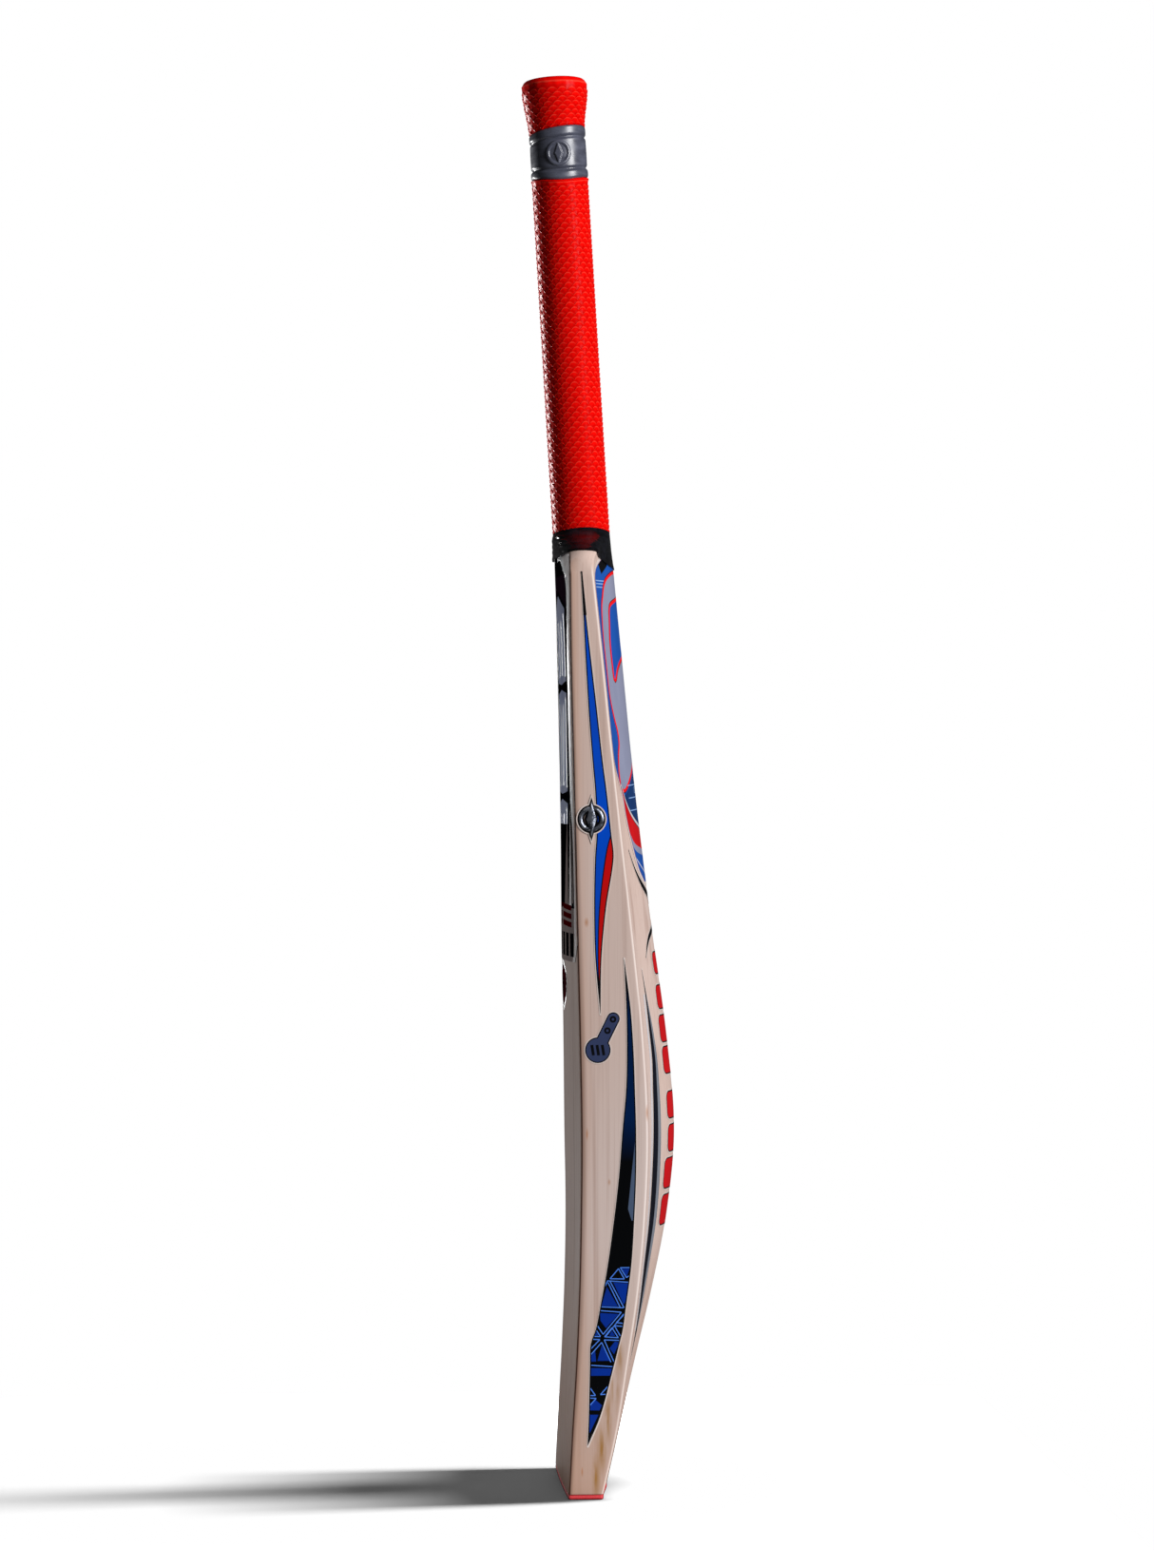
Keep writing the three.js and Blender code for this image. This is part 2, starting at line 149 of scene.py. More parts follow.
def lerp(a, b, t):
    return a + (b - a) * t


def steps(start, end, count):
    return [lerp(start, end, i / count) for i in range(count + 1)]


def clamp01(value):
    return min(max(value, 0.0), 1.0)


def smooth_step(low, high, value):
    t = clamp01((value - low) / (high - low))
    return t * t * (3 - 2 * t)


def curve(table, column, z):
    """Smooth value of one column of a table at a height; the ends hold their value."""
    last = len(table) - 1
    if z <= table[0][0]:
        return table[0][column]
    if z >= table[last][0]:
        return table[last][column]
    i = next(k for k, row in enumerate(table) if row[0] > z) - 1

    def slope(k):
        before = table[max(k - 1, 0)]
        after = table[min(k + 1, last)]
        return (after[column] - before[column]) / (after[0] - before[0])

    span = table[i + 1][0] - table[i][0]
    t = (z - table[i][0]) / span
    rise = t * t * (3 - 2 * t)
    pull = t * (1 - t) * ((1 - t) * slope(i) - t * slope(i + 1)) * span
    return lerp(table[i][column], table[i + 1][column], rise) + pull


# ---- blade surface ----


def half_width(z):
    return curve(SHOULDER, 1, z)


def face_line(z):
    return curve(BLADE, 1, z)


def back_line(z):
    return face_line(z) + curve(BLADE, 2, z)


def face_y(t, z):
    return face_line(z) - curve(BLADE, 4, z) * (1 - t * t)


def back_y(t, z):
    hollow = (1 - min(t, 1) ** FLANK_NEAR) ** FLANK_FAR
    return lerp(back_line(z), curve(BLADE, 3, z), hollow)


def face_angle(t):
    """Angle on the neck: half the face spans 50 degrees of it, and so does half the back."""
    return -90 + 50 * t


def blend(t, y, degrees, z):
    """Point of the blade's own section, turning into the ellipse of the neck near the handle."""
    k = clamp01(curve(SHOULDER, 2, z))
    angle = math.radians(degrees)
    axis = AXIS_AT_FOOT - LEAN * (z - HANDLE_FOOT)
    x = half_width(z) * lerp(t, math.cos(angle), k)
    return Vector((x, lerp(y, axis + NECK_DEPTH * math.sin(angle), k), z))


def mirrored(point, x):
    return Vector((-point.x, point.y, point.z)) if x < 0 else point


def face_at(x, z):
    t = abs(x) / half_width(z)
    return mirrored(blend(t, face_y(t, z), face_angle(t), z), x)


def face_round(x, z):
    """Face that carries on round its corner; x runs along the curve there."""
    width = half_width(z)
    flat = width - FACE_CORNER
    turn = min(max(abs(x) - flat, 0) / FACE_CORNER, ROUND_TURN)
    t = (min(abs(x), flat) + FACE_CORNER * math.sin(turn)) / width
    y = face_y(t, z) + FACE_CORNER * (1 - math.cos(turn))
    return mirrored(blend(t, y, face_angle(t), z), x)


def back_at(x, z):
    t = abs(x) / half_width(z)
    return mirrored(blend(t, back_y(t, z), -face_angle(t), z), x)


def right_edge(y, z):
    return Vector((HALF_WIDTH, y, z))


def left_edge(y, z):
    return Vector((-HALF_WIDTH, y, z))


# Surface and the sign that turns its normal outwards.
FACE = (face_at, 1)
FACE_AND_CORNERS = (face_round, 1)
BACK = (back_at, -1)
RIGHT = (right_edge, 1)
LEFT = (left_edge, -1)


def lifted(surface, u, v, height):
    """Point of a surface, raised along its normal."""
    at, sign = surface
    probe = 0.05
    point = at(u, v)
    normal = (at(u + probe, v) - point).cross(at(u, v + probe) - point).normalized()
    return point + normal * (sign * height)


# ---- sections of the blade ----


# Stations of half a section, from the middle of the face round by +X to the spine.
HALF = [("face", f) for f in steps(0, 1, 22)]
HALF += [("low", f) for f in steps(0, 1, 6)[1:-1]]
HALF += [("edge", f) for f in steps(-1, 1, 12)]
HALF += [("high", f) for f in steps(0, 1, 6)[1:-1]]
HALF += [("back", f**1.4) for f in steps(1, 0, 44)]
STATIONS = [(kind, f, 1) for kind, f in HALF]
STATIONS += [(kind, f, -1) for kind, f in reversed(HALF[1:-1])]


def section_values(kind, f, z):
    """Share of the half width, Y, and angle on the neck of one station."""
    width = half_width(z)
    near_face = (width - FACE_CORNER) / width
    near_back = (width - BACK_CORNER) / width
    turn = f * math.pi / 2
    if kind == "face":
        t = f * near_face
        return t, face_y(t, z), face_angle(t)
    if kind == "low":
        t = lerp(near_face, 1, math.sin(turn))
        drop = FACE_CORNER * (1 - math.cos(turn))
        return t, face_y(t, z) + drop, lerp(face_angle(near_face), -EDGE_ANGLE, f)
    if kind == "edge":
        y = lerp(face_line(z) + FACE_CORNER, back_line(z) - BACK_CORNER, (f + 1) / 2)
        return 1, y, EDGE_ANGLE * f
    if kind == "high":
        t = lerp(near_back, 1, math.cos(turn))
        drop = BACK_CORNER * (1 - math.sin(turn))
        return t, back_y(t, z) - drop, lerp(EDGE_ANGLE, -face_angle(near_back), f)
    t = f * near_back
    return t, back_y(t, z), -face_angle(t)


def station_angle(station):
    """Angle on the neck, from +X towards the spine."""
    kind, f, _ = station
    return section_values(kind, f, HANDLE_FOOT)[2]


def station_point(station, z):
    kind, f, side = station
    t, y, angle = section_values(kind, f, z)
    return mirrored(blend(t, y, angle, z), side)


def grip_end(angle):
    """Where the grip ends along the handle: lower at the face and the spine than at the sides."""
    up = math.sin(math.radians(angle))
    return 0.1 - (2.3 + 0.6 * up) * up * up


def neck_top(angle):
    """Height where the willow of the neck ends, just below the grip."""
    up = math.sin(math.radians(angle))
    return HANDLE_FOOT + LEAN * NECK_DEPTH * up + grip_end(angle) - NECK_GAP


# ---- mesh building ----


def add_object(name, data):
    made = bpy.data.objects.new(name, data)
    bpy.context.scene.collection.objects.link(made)
    return made


def smooth(mesh, sharp=SHARP):
    """Shade smooth, except across edges sharper than an angle in degrees."""
    mesh.shade_smooth()
    mesh.set_sharp_from_angle(angle=math.radians(sharp))


def add_piece(name, points, faces, materials, indices=None, sharp=SHARP):
    """Object from points in millimetres."""
    mesh = bpy.data.meshes.new(name)
    mesh.from_pydata([Vector(p) * 0.001 for p in points], [], faces)
    for material in materials:
        mesh.materials.append(material)
    if indices is not None:
        mesh.polygons.foreach_set("material_index", indices)
    mesh.validate()
    smooth(mesh, sharp)
    return add_object(name, mesh)


def add_attribute(piece, name, values):
    layer = piece.data.attributes.new(name, "FLOAT", "POINT")
    layer.data.foreach_set("value", values)


def stands_for(piece, slot, *nodes):
    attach(piece, "root")
    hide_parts(*nodes)


def ring_faces(rings, count, closed=False):
    """Quads between successive rings of equal length; closed also joins the last to the first."""
    faces = []
    for k in range(rings if closed else rings - 1):
        low = k * count
        high = (k + 1) % rings * count
        for i in range(count):
            j = (i + 1) % count
            faces.append((low + i, low + j, high + j, high + i))
    return faces


def loft(rings):
    """Points and faces of a solid through a stack of rings, closed at both ends."""
    count = len(rings[0])
    faces = ring_faces(len(rings), count)
    faces.append(tuple(reversed(range(count))))
    faces.append(tuple(range((len(rings) - 1) * count, len(rings) * count)))
    return [p for ring in rings for p in ring], faces


def shrunk(ring, distance):
    """Ring moved inwards by a distance, within its own height."""
    moved = []
    for i, p in enumerate(ring):
        along = ring[(i + 1) % len(ring)] - ring[i - 1]
        inwards = Vector((-along.y, along.x, 0)).normalized()
        moved.append(p + inwards * distance)
    return moved


# ---- outlines in the plane of a surface ----


def round_angles(count):
    return [2 * math.pi * i / count for i in range(count)]


def arc(centre, radius, angles):
    return [(centre[0] + radius * math.cos(a), centre[1] + radius * math.sin(a)) for a in angles]


def circle(centre, radius, count=36):
    return arc(centre, radius, round_angles(count))


def smooth_line(points):
    """Curve through the points, with straight ends."""
    line = []
    for i in range(len(points) - 1):
        before = Vector(points[max(i - 1, 0)])
        start = Vector(points[i])
        end = Vector(points[i + 1])
        after = Vector(points[min(i + 2, len(points) - 1)])
        for t in steps(0, 1, 5)[:-1]:
            pull = (end - before) * (t * (1 - t) ** 2 / 2) - (after - start) * (t * t * (1 - t) / 2)
            line.append(tuple(start.lerp(end, t * t * (3 - 2 * t)) + pull))
    line.append(tuple(points[-1]))
    return line


def stroke(points, width):
    """Outline of a line drawn with a constant width."""
    sides = ([], [])
    for i, point in enumerate(points):
        along = Vector(points[min(i + 1, len(points) - 1)]) - Vector(points[max(i - 1, 0)])
        across = Vector((-along.y, along.x)).normalized() * (width / 2)
        sides[0].append(tuple(Vector(point) + across))
        sides[1].append(tuple(Vector(point) - across))
    return sides[0] + sides[1][::-1]


def sliver(rows, inset, pitch=3.0):
    """Outline between the two sides of a table of rows, drawn in by an inset or out if negative."""
    low = rows[0][0]
    high = rows[-1][0]
    stretch = max(-inset, 0) * 2.5
    near, far = [], []
    for z in steps(low, high, round((high - low) / pitch)):
        a = curve(rows, 1, z) + inset
        b = curve(rows, 2, z) - inset
        if b - a > 0.05:
            v = z + stretch * (2 * (z - low) / (high - low) - 1)
            near.append((a, v))
            far.append((b, v))
    return near + far[::-1]


def symmetric(rows):
    return [(z, -half, half) for z, half in rows]


def flipped(polygon):
    return [(-u, v) for u, v in polygon]


def inside(polygon, u, v):
    hit = False
    ua, va = polygon[-1]
    for ub, vb in polygon:
        if (va > v) != (vb > v) and u < (ub - ua) * (v - va) / (vb - va) + ua:
            hit = not hit
        ua, va = ub, vb
    return hit


def divided(polygon, pitch):
    """Points of an outline whose sides are no longer than the pitch."""
    points = []
    for i, corner in enumerate(polygon):
        start = Vector(corner)
        end = Vector(polygon[(i + 1) % len(polygon)])
        parts = max(math.ceil((end - start).length / pitch), 1)
        points += [start.lerp(end, t) for t in steps(0, 1, parts)[:-1]]
    return points


class Art:
    """Printed regions of a sticker; later regions are printed over earlier ones."""

    def __init__(self):
        self.regions = []

    def paint(self, polygon, material, clip=None):
        """material None cuts a hole; clip limits the region to another outline."""
        us = [p[0] for p in polygon]
        vs = [p[1] for p in polygon]
        self.regions.append((polygon, material, clip, (min(us), max(us), min(vs), max(vs))))

    def paint_pair(self, polygon, material, clip=None):
        """The region and its mirror image in the bat's middle plane."""
        self.paint(polygon, material, clip)
        self.paint(flipped(polygon), material, clip)

    def material_at(self, u, v):
        for polygon, material, clip, (u0, u1, v0, v1) in reversed(self.regions):
            if u0 <= u <= u1 and v0 <= v <= v1 and inside(polygon, u, v):
                if clip is None or inside(clip, u, v):
                    return material
        return None


def sticker(name, surface, art, slot, *nodes, lift=STICKER_LIFT, pitch=None):
    """Thin closed sheet over a surface, cut along the outlines of its printed regions."""
    points, edges = [], []
    for polygon, _, _, _ in art.regions:
        first = len(points)
        outline = divided(polygon, pitch) if pitch else [Vector(p) for p in polygon]
        points += outline
        edges += [(first + i, first + (i + 1) % len(outline)) for i in range(len(outline))]
    if pitch:
        us = [p.x for p in points]
        vs = [p.y for p in points]
        columns = max(round((max(us) - min(us)) / pitch), 1)
        rows = max(round((max(vs) - min(vs)) / pitch), 1)
        for u in steps(min(us) + 0.01, max(us) - 0.01, columns):
            points += [Vector((u, v)) for v in steps(min(vs) + 0.01, max(vs) - 0.01, rows)]
    flat, _, triangles, _, _, _ = delaunay_2d_cdt(points, edges, [], 0, 1e-4)

    materials, kept, indices = [], [], []
    for a, b, c in triangles:
        centre = (flat[a] + flat[b] + flat[c]) / 3
        material = art.material_at(centre.x, centre.y)
        if material is None:
            continue
        if material not in materials:
            materials.append(material)
        kept.append((a, b, c) if surface[1] > 0 else (a, c, b))
        indices.append(materials.index(material))

    used = sorted({i for triangle in kept for i in triangle})
    place = {old: new for new, old in enumerate(used)}
    points = []
    for height in (lift + STICKER_FILM, lift):
        points += [lifted(surface, flat[i].x, flat[i].y, height) for i in used]
    size = len(used)
    owners = {}
    for index, (a, b, c) in enumerate(kept):
        for start, end in ((a, b), (b, c), (c, a)):
            owners[(start, end)] = index
    faces = [tuple(place[i] for i in triangle) for triangle in kept]
    faces += [tuple(size + place[i] for i in reversed(triangle)) for triangle in kept]
    indices = indices + indices
    for (start, end), index in owners.items():
        if (end, start) not in owners:
            a, b = place[start], place[end]
            faces.append((b, a, a + size, b + size))
            indices.append(indices[index])
    stands_for(add_piece(name, points, faces, materials, indices), slot, *nodes)


# ---- materials ----


def rgb(code):
    """Linear colour from a six-digit hexadecimal one."""
    values = [int(code[i:i + 2], 16) / 255 for i in (0, 2, 4)]
    linear = [v / 12.92 if v <= 0.04045 else ((v + 0.055) / 1.055) ** 2.4 for v in values]
    return (*linear, 1)


class Look:
    """Node material around one Principled shader."""

    def __init__(self, name, **sockets):
        self.material = bpy.data.materials.new(name)
        self.material.use_nodes = True
        self.tree = self.material.node_tree
        self.shader = self.tree.nodes["Principled BSDF"]
        for socket, value in sockets.items():
            self.shader.inputs[socket.replace("_", " ")].default_value = value
        coordinates = self.tree.nodes.new("ShaderNodeTexCoord")
        self.position = coordinates.outputs["Object"]

    def node(self, kind, links=None, **settings):
        node = self.tree.nodes.new(kind)
        for key, value in settings.items():
            setattr(node, key, value)
        for socket, source in (links or {}).items():
            if isinstance(source, bpy.types.NodeSocket):
                self.tree.links.new(source, node.inputs[socket])
            else:
                node.inputs[socket].default_value = source
        return node

    def stretched(self, scale, offset=(0, 0, 0)):
        """Object coordinates in metres, scaled along each axis."""
        links = {"Vector": self.position, "Scale": scale, "Location": offset}
        return self.node("ShaderNodeMapping", links).outputs["Vector"]

    def noise(self, scale, detail=3, roughness=0.5, offset=(0, 0, 0), distortion=0):
        links = {
            "Vector": self.stretched(scale, offset),
            "Scale": 1,
            "Detail": detail,
            "Roughness": roughness,
            "Distortion": distortion,
        }
        return self.node("ShaderNodeTexNoise", links).outputs["Fac"]

    def remap(self, source, low, high, to_low=0, to_high=1):
        links = {
            "Value": source, "From Min": low, "From Max": high, "To Min": to_low, "To Max": to_high,
        }
        return self.node("ShaderNodeMapRange", links).outputs["Result"]

    def maths(self, operation, a, b):
        node = self.node("ShaderNodeMath", {0: a, 1: b}, operation=operation)
        return node.outputs["Value"]

    def mix(self, factor, a, b):
        node = self.node("ShaderNodeMix", data_type="RGBA")
        for index, source in ((0, factor), (6, a), (7, b)):
            if isinstance(source, bpy.types.NodeSocket):
                self.tree.links.new(source, node.inputs[index])
            else:
                node.inputs[index].default_value = source
        return node.outputs[2]

    def tones(self, source, low, high, first, second):
        """Colour from one hexadecimal code to another as a value goes from low to high."""
        return self.mix(self.remap(source, low, high), rgb(first), rgb(second))

    def attribute(self, name):
        return self.node("ShaderNodeAttribute", attribute_name=name).outputs["Fac"]

    def height(self):
        return self.node("ShaderNodeSeparateXYZ", {"Vector": self.position}).outputs["Z"]

    def spot(self, centre, radii, soft):
        """1 inside an ellipsoid given in millimetres, fading to 0 at its surface."""
        scale = tuple(1000 / r for r in radii)
        offset = tuple(-c / r for c, r in zip(centre, radii))
        place = self.stretched(scale, offset)
        length = self.node("ShaderNodeVectorMath", {0: place}, operation="LENGTH").outputs["Value"]
        return self.remap(length, 1, 1 - soft)

    def use(self, socket, source):
        self.tree.links.new(source, self.shader.inputs[socket])

    def bump(self, height, strength, distance):
        links = {"Height": height, "Strength": strength, "Distance": distance * 0.001}
        self.use("Normal", self.node("ShaderNodeBump", links).outputs["Normal"])


WOOD_PALE = rgb("dcc9c2")
WOOD_WARM = rgb("ceb0a2")
WOOD_LINE = rgb("b4968a")
WOOD_RED = rgb("b8825f")
# Dark colour of the painted shade line along the face's corner.
WOOD_CORNER_SHADE = rgb("4a2a20")
# Bright colour of the painted highlight along the back's corner.
WOOD_CORNER_HIGHLIGHT = rgb("fff8f4")
WOOD_STAIN = rgb("a67a48")
WOOD_TOE = rgb("bd9782")
TOE_TINT_TOP = 0.15  # metres

# Centre, radii and strength of the brown flecks and of the stained wood at the toe.
FLECKS = [
    ((54, 0.5, 342), (3, 1.6, 3.4), 0.75),
    ((54, 0.8, 216.5), (3, 0.9, 4.5), 0.8),
    ((54, 14, 188), (3, 1.1, 2.4), 0.6),
    ((54, -2.1, 16.5), (3, 0.7, 3.6), 0.9),
    ((53, 37, 229), (3, 1.8, 6), 0.8),
    ((-54, 6, 301), (3, 1.2, 4), 0.7),
    ((-54, 20, 60), (3, 1, 5), 0.6),
    ((20, -6, 240), (1.2, 5, 5), 0.6),
    ((-31, -6, 128), (1, 5, 7), 0.6),
]
TOE_STAINS = [
    ((54, 20.5, 84), (6, 3, 17), 0.7),
    ((54, 17.5, 66), (6, 3.2, 17), 0.9),
    ((54, 13.5, 48), (6, 3.4, 17), 1.0),
    ((54, 9.5, 30), (6, 3.4, 17), 1.0),
    ((54, 6, 13), (6, 3.2, 16), 1.0),
    ((-54, 12, 48), (6, 3, 22), 0.7),
    ((-54, 6, 20), (6, 3, 20), 0.8),
    ((10, -8, 14), (14, 5, 20), 0.6),
]


def willow(name):
    look = Look(name, Roughness=0.5, Specular_IOR_Level=0.08)
    blotch = look.noise((9, 9, 2.2), detail=2)
    fine = look.noise((900, 900, 9), detail=4, roughness=0.6)
    grain = look.noise((150, 150, 1.6), detail=3, offset=(3.1, 0.7, 0), distortion=0.4)
    lines = look.remap(grain, 0.56, 0.66)
    patch = look.remap(look.noise((260, 260, 34), detail=4, offset=(5, 2, 1)), 0.36, 0.54)
    streaks = look.remap(fine, 0.3, 0.6, 0.55, 1)
    warm = look.maths("MULTIPLY", look.attribute("face_corner"), streaks)
    colour = look.mix(look.remap(blotch, 0.35, 0.7), WOOD_PALE, WOOD_WARM)
    colour = look.mix(look.maths("MULTIPLY", lines, 0.55), colour, WOOD_LINE)
    colour = look.mix(look.remap(fine, 0.5, 0.75, 0, 0.45), colour, WOOD_LINE)
    colour = look.mix(warm, colour, WOOD_RED)
    colour = look.mix(look.remap(look.height(), TOE_TINT_TOP, 0, 0, 0.8), colour, WOOD_TOE)
    # Painted shade: a dark line along the rounded corner of the face.
    colour = look.mix(look.attribute("face_corner_shade"), colour, WOOD_CORNER_SHADE)
    # Painted highlight: a bright line along the corner of the back.
    colour = look.mix(look.attribute("back_corner_highlight"), colour, WOOD_CORNER_HIGHLIGHT)
    for centre, radii, strength in FLECKS:
        mask = look.maths("MULTIPLY", look.spot(centre, radii, 0.8), strength)
        colour = look.mix(mask, colour, WOOD_RED)
    for centre, radii, strength in TOE_STAINS:
        mask = look.maths("MULTIPLY", look.spot(centre, radii, 0.9), strength)
        colour = look.mix(look.maths("MULTIPLY", mask, patch), colour, WOOD_STAIN)
    look.use("Base Color", colour)
    look.use("Roughness", look.remap(fine, 0.3, 0.7, 0.42, 0.58))
    look.bump(fine, 0.25, 0.12)
    return look.material


def cane(name):
    look = Look(name, Roughness=0.6, Specular_IOR_Level=0.3)
    fibre = look.noise((1500, 1500, 30), detail=3)
    colour = look.tones(look.noise((60, 60, 8), detail=2), 0.3, 0.7, "d6b274", "bf9150")
    look.use("Base Color", look.mix(look.remap(fibre, 0.55, 0.7, 0, 0.6), colour, rgb("7d5527")))
    look.bump(fibre, 0.4, 0.2)
    return look.material


def twine(name):
    look = Look(name, Roughness=0.9)
    links = {"Vector": look.position, "Scale": 300, "Distortion": 0.3}
    turns = look.node("ShaderNodeTexWave", links, bands_direction="Z").outputs["Fac"]
    look.use("Base Color", look.mix(turns, rgb("8d7f63"), rgb("ded3b8")))
    look.bump(turns, 0.8, 0.5)
    return look.material


def grip_rubber(name):
    """Red rubber, with a painted highlight along the rims of the scales and painted shade in their
    hollows.
    """
    look = Look(name, Roughness=0.25, Specular_IOR_Level=0.04)
    grit = look.noise((1600, 1600, 1600), detail=3)
    rim = look.attribute("scale_rim_light_and_shade")
    colour = look.tones(look.noise((420, 420, 260), detail=3), 0.35, 0.65, "ff0b05", "ee0603")
    # Painted shade in the hollows of the scales.
    colour = look.mix(look.remap(rim, 0.2, 0, 0, 0.4), colour, rgb("9c0202"))
    # Painted highlight along the rims of the scales.
    colour = look.mix(look.remap(rim, 0.6, 0.95, 0, 0.5), colour, rgb("ff5440"))
    look.use("Base Color", look.mix(look.remap(grit, 0.55, 0.8, 0, 0.3), colour, rgb("a80402")))
    look.use("Roughness", look.remap(grit, 0.3, 0.7, 0.2, 0.3))
    look.bump(grit, 0.12, 0.05)
    return look.material


def collar_rubber(name):
    look = Look(name, Roughness=0.3, Specular_IOR_Level=0.7)
    grit = look.noise((1500, 1500, 1500), detail=3)
    smear = look.noise((90, 90, 300), detail=2)
    colour = look.tones(smear, 0.35, 0.7, "484a58", "5c5f6f")
    look.use("Base Color", look.mix(look.remap(grit, 0.5, 0.75, 0, 0.5), colour, rgb("363945")))
    look.use("Roughness", look.remap(smear, 0.3, 0.7, 0.24, 0.38))
    look.bump(grit, 0.2, 0.06)
    return look.material


def speckled(name, roughness, shine, scale, detail, first, second, relief):
    """Two tones of one material, mixed by the noise that also raises its surface."""
    look = Look(name, Roughness=roughness, Specular_IOR_Level=shine)
    grit = look.noise(scale, detail)
    look.use("Base Color", look.tones(grit, 0.3, 0.7, first, second))
    look.bump(grit, *relief)
    return look.material


def black_rubber(name):
    return speckled(name, 0.8, 0.3, (2200, 2200, 2200), 2, "141415", "262628", (0.3, 0.1))


def toe_rubber(name):
    return speckled(name, 0.55, 0.4, (1300, 1300, 1300), 3, "ee464e", "d2383f", (0.3, 0.1))


def clear_film(name):
    """Margin of clear film over the willow."""
    return speckled(name, 0.3, 0.4, (900, 900, 9), 3, "eadcd6", "dccac2", (0.1, 0.05))


def black_film(name):
    look = Look(name, Roughness=0.1, Specular_IOR_Level=0.04)
    crease = look.noise((160, 160, 260), detail=3, distortion=0.6)
    look.use("Base Color", look.tones(crease, 0.4, 0.7, "0c0c0f", "191a20"))
    look.use("Roughness", look.remap(crease, 0.3, 0.7, 0.07, 0.15))
    look.bump(crease, 0.8, 0.4)
    return look.material


def printed(name, first, second, gloss=0.32, shine=0.16):
    """Ink on film: slight changes of density, a fine grain and faint ripples of the sheet."""
    look = Look(name, Roughness=gloss, Specular_IOR_Level=shine)
    density = look.noise((55, 55, 25), detail=2)
    dots = look.noise((2500, 2500, 2500), detail=1)
    colour = look.tones(density, 0.35, 0.7, first, second)
    deep = (*[c * 0.75 for c in rgb(first)[:3]], 1)
    look.use("Base Color", look.mix(look.remap(dots, 0.5, 0.8, 0, 0.5), colour, deep))
    look.use("Roughness", look.remap(density, 0.3, 0.7, gloss * 0.8, gloss * 1.25))
    look.bump(look.noise((90, 90, 22), detail=3), 0.1, 0.3)
    return look.material


# Heights in metres over which the navy fades in and out.
NIGHT_RISE = (0.200, 0.226)
NIGHT_FALL = (0.306, 0.286)


def night_blue(name):
    """Navy between two heights, fading to black below and above them."""
    look = Look(name, Roughness=0.32, Specular_IOR_Level=0.12)
    height = look.height()
    cloud = look.noise((60, 60, 30), detail=2)
    ink = look.tones(cloud, 0.3, 0.7, "00204f", "001a40")
    rise = look.remap(height, *NIGHT_RISE)
    strength = look.maths("MULTIPLY", rise, look.remap(height, *NIGHT_FALL))
    look.use("Base Color", look.mix(strength, rgb("050608"), ink))
    look.bump(cloud, 0.1, 0.3)
    return look.material


def gunmetal(name):
    look = Look(name, Roughness=0.3, Metallic=0.85, Specular_IOR_Level=0.5)
    speckle = look.noise((700, 700, 700), detail=3)
    cloud = look.noise((250, 250, 250), detail=2)
    colour = look.tones(cloud, 0.35, 0.65, "4a4e5a", "8e93a0")
    look.use("Base Color", look.mix(look.remap(speckle, 0.55, 0.68), colour, rgb("d0d4dc")))
    look.use("Roughness", look.remap(cloud, 0.3, 0.7, 0.22, 0.42))
    look.bump(speckle, 0.4, 0.12)
    return look.material


WILLOW = willow("willow")
CANE = cane("cane")
INSERT = black_rubber("insert_rubber")
TWINE = twine("twine")
GRIP = grip_rubber("grip_rubber")
COLLAR = collar_rubber("collar_rubber")
TOE = toe_rubber("toe_rubber")
WRAP = black_film("black_film")
MARGIN = clear_film("clear_margin")
BLACK = printed("ink_black", "07070a", "0b0b10")
COBALT = printed("ink_cobalt", "004ed2", "0044be")
RED = printed("ink_red", "d8141c", "c80f16")
DEEP_RED = printed("ink_deep_red", "d4080a", "c40608")
NIGHT = night_blue("ink_night_blue")
PANEL = printed("ink_panel_blue", "0634a0", "052c8c")
LATTICE = printed("ink_lattice_blue", "5a94ff", "4a84f2")
WEDGE = printed("ink_wedge", "54647f", "43536f")
LABEL_BLUE = printed("ink_label_blue", "1c58b4", "184ea4")
LABEL_DEEP = printed("ink_label_deep", "163c74", "102f60")
LABEL_GREY = printed("ink_label_grey", "969ab4", "8a8ea8")
LABEL_RED = printed("ink_label_red", "ff161c", "f41018")
LABEL_LIGHT = printed("ink_label_light", "8fb4e6", "7fa5dc")
LABEL_WHITE = printed("ink_label_white", "d8d6dc", "c9c8d0")
LABEL_PURPLE = printed("ink_label_purple", "8a6488", "7c567a")
SLATE = printed("ink_slate", "141724", "10121c")
PALE_SLATE = printed("ink_pale_slate", "888d97", "7c818c")
TAG_SLATE = printed("ink_tag", "3a4468", "323c5e")
METAL = gunmetal("badge_metal")
# Inks of the face. Only the white ones shine, since seen along the face the others would mirror.
PLUM = printed("face_plum", "2c1a2a", "20121e", shine=0)
LILAC = printed("face_lilac", "c2cae6", "a4aed2", shine=0)
SMOKE = printed("face_smoke", "a89a98", "948886", shine=0)
MAROON = printed("face_maroon", "4a1018", "3a0a10", shine=0)
BORDER = printed("face_border", "2a1c1c", "201414", shine=0)
FACE_BLACK = printed("face_black", "0a0a0e", "0e0e14", shine=0)
FACE_WHITE = printed("face_white", "f6f7fb", "e8eaf2", gloss=0.2, shine=0.4)
# Pale ink of the shards, also used as painted glare on the sheet's rim.
FACE_PALE_AND_GLARE = printed("face_pale_and_glare", "e2d8d8", "d2c8c8", shine=0.05)
FACE_BLUE = printed("face_blue", "2a4f9c", "20428a", shine=0)
FACE_RED = printed("face_red", "5c060a", "4c0508", shine=0)

# ---- blade ----

NECK_RAMP = 564.0  # above this height the sections lean towards the arched end of the neck
TOE_ROUNDING = 0.35
BLADE_RINGS = 270
NECK_RINGS = 24


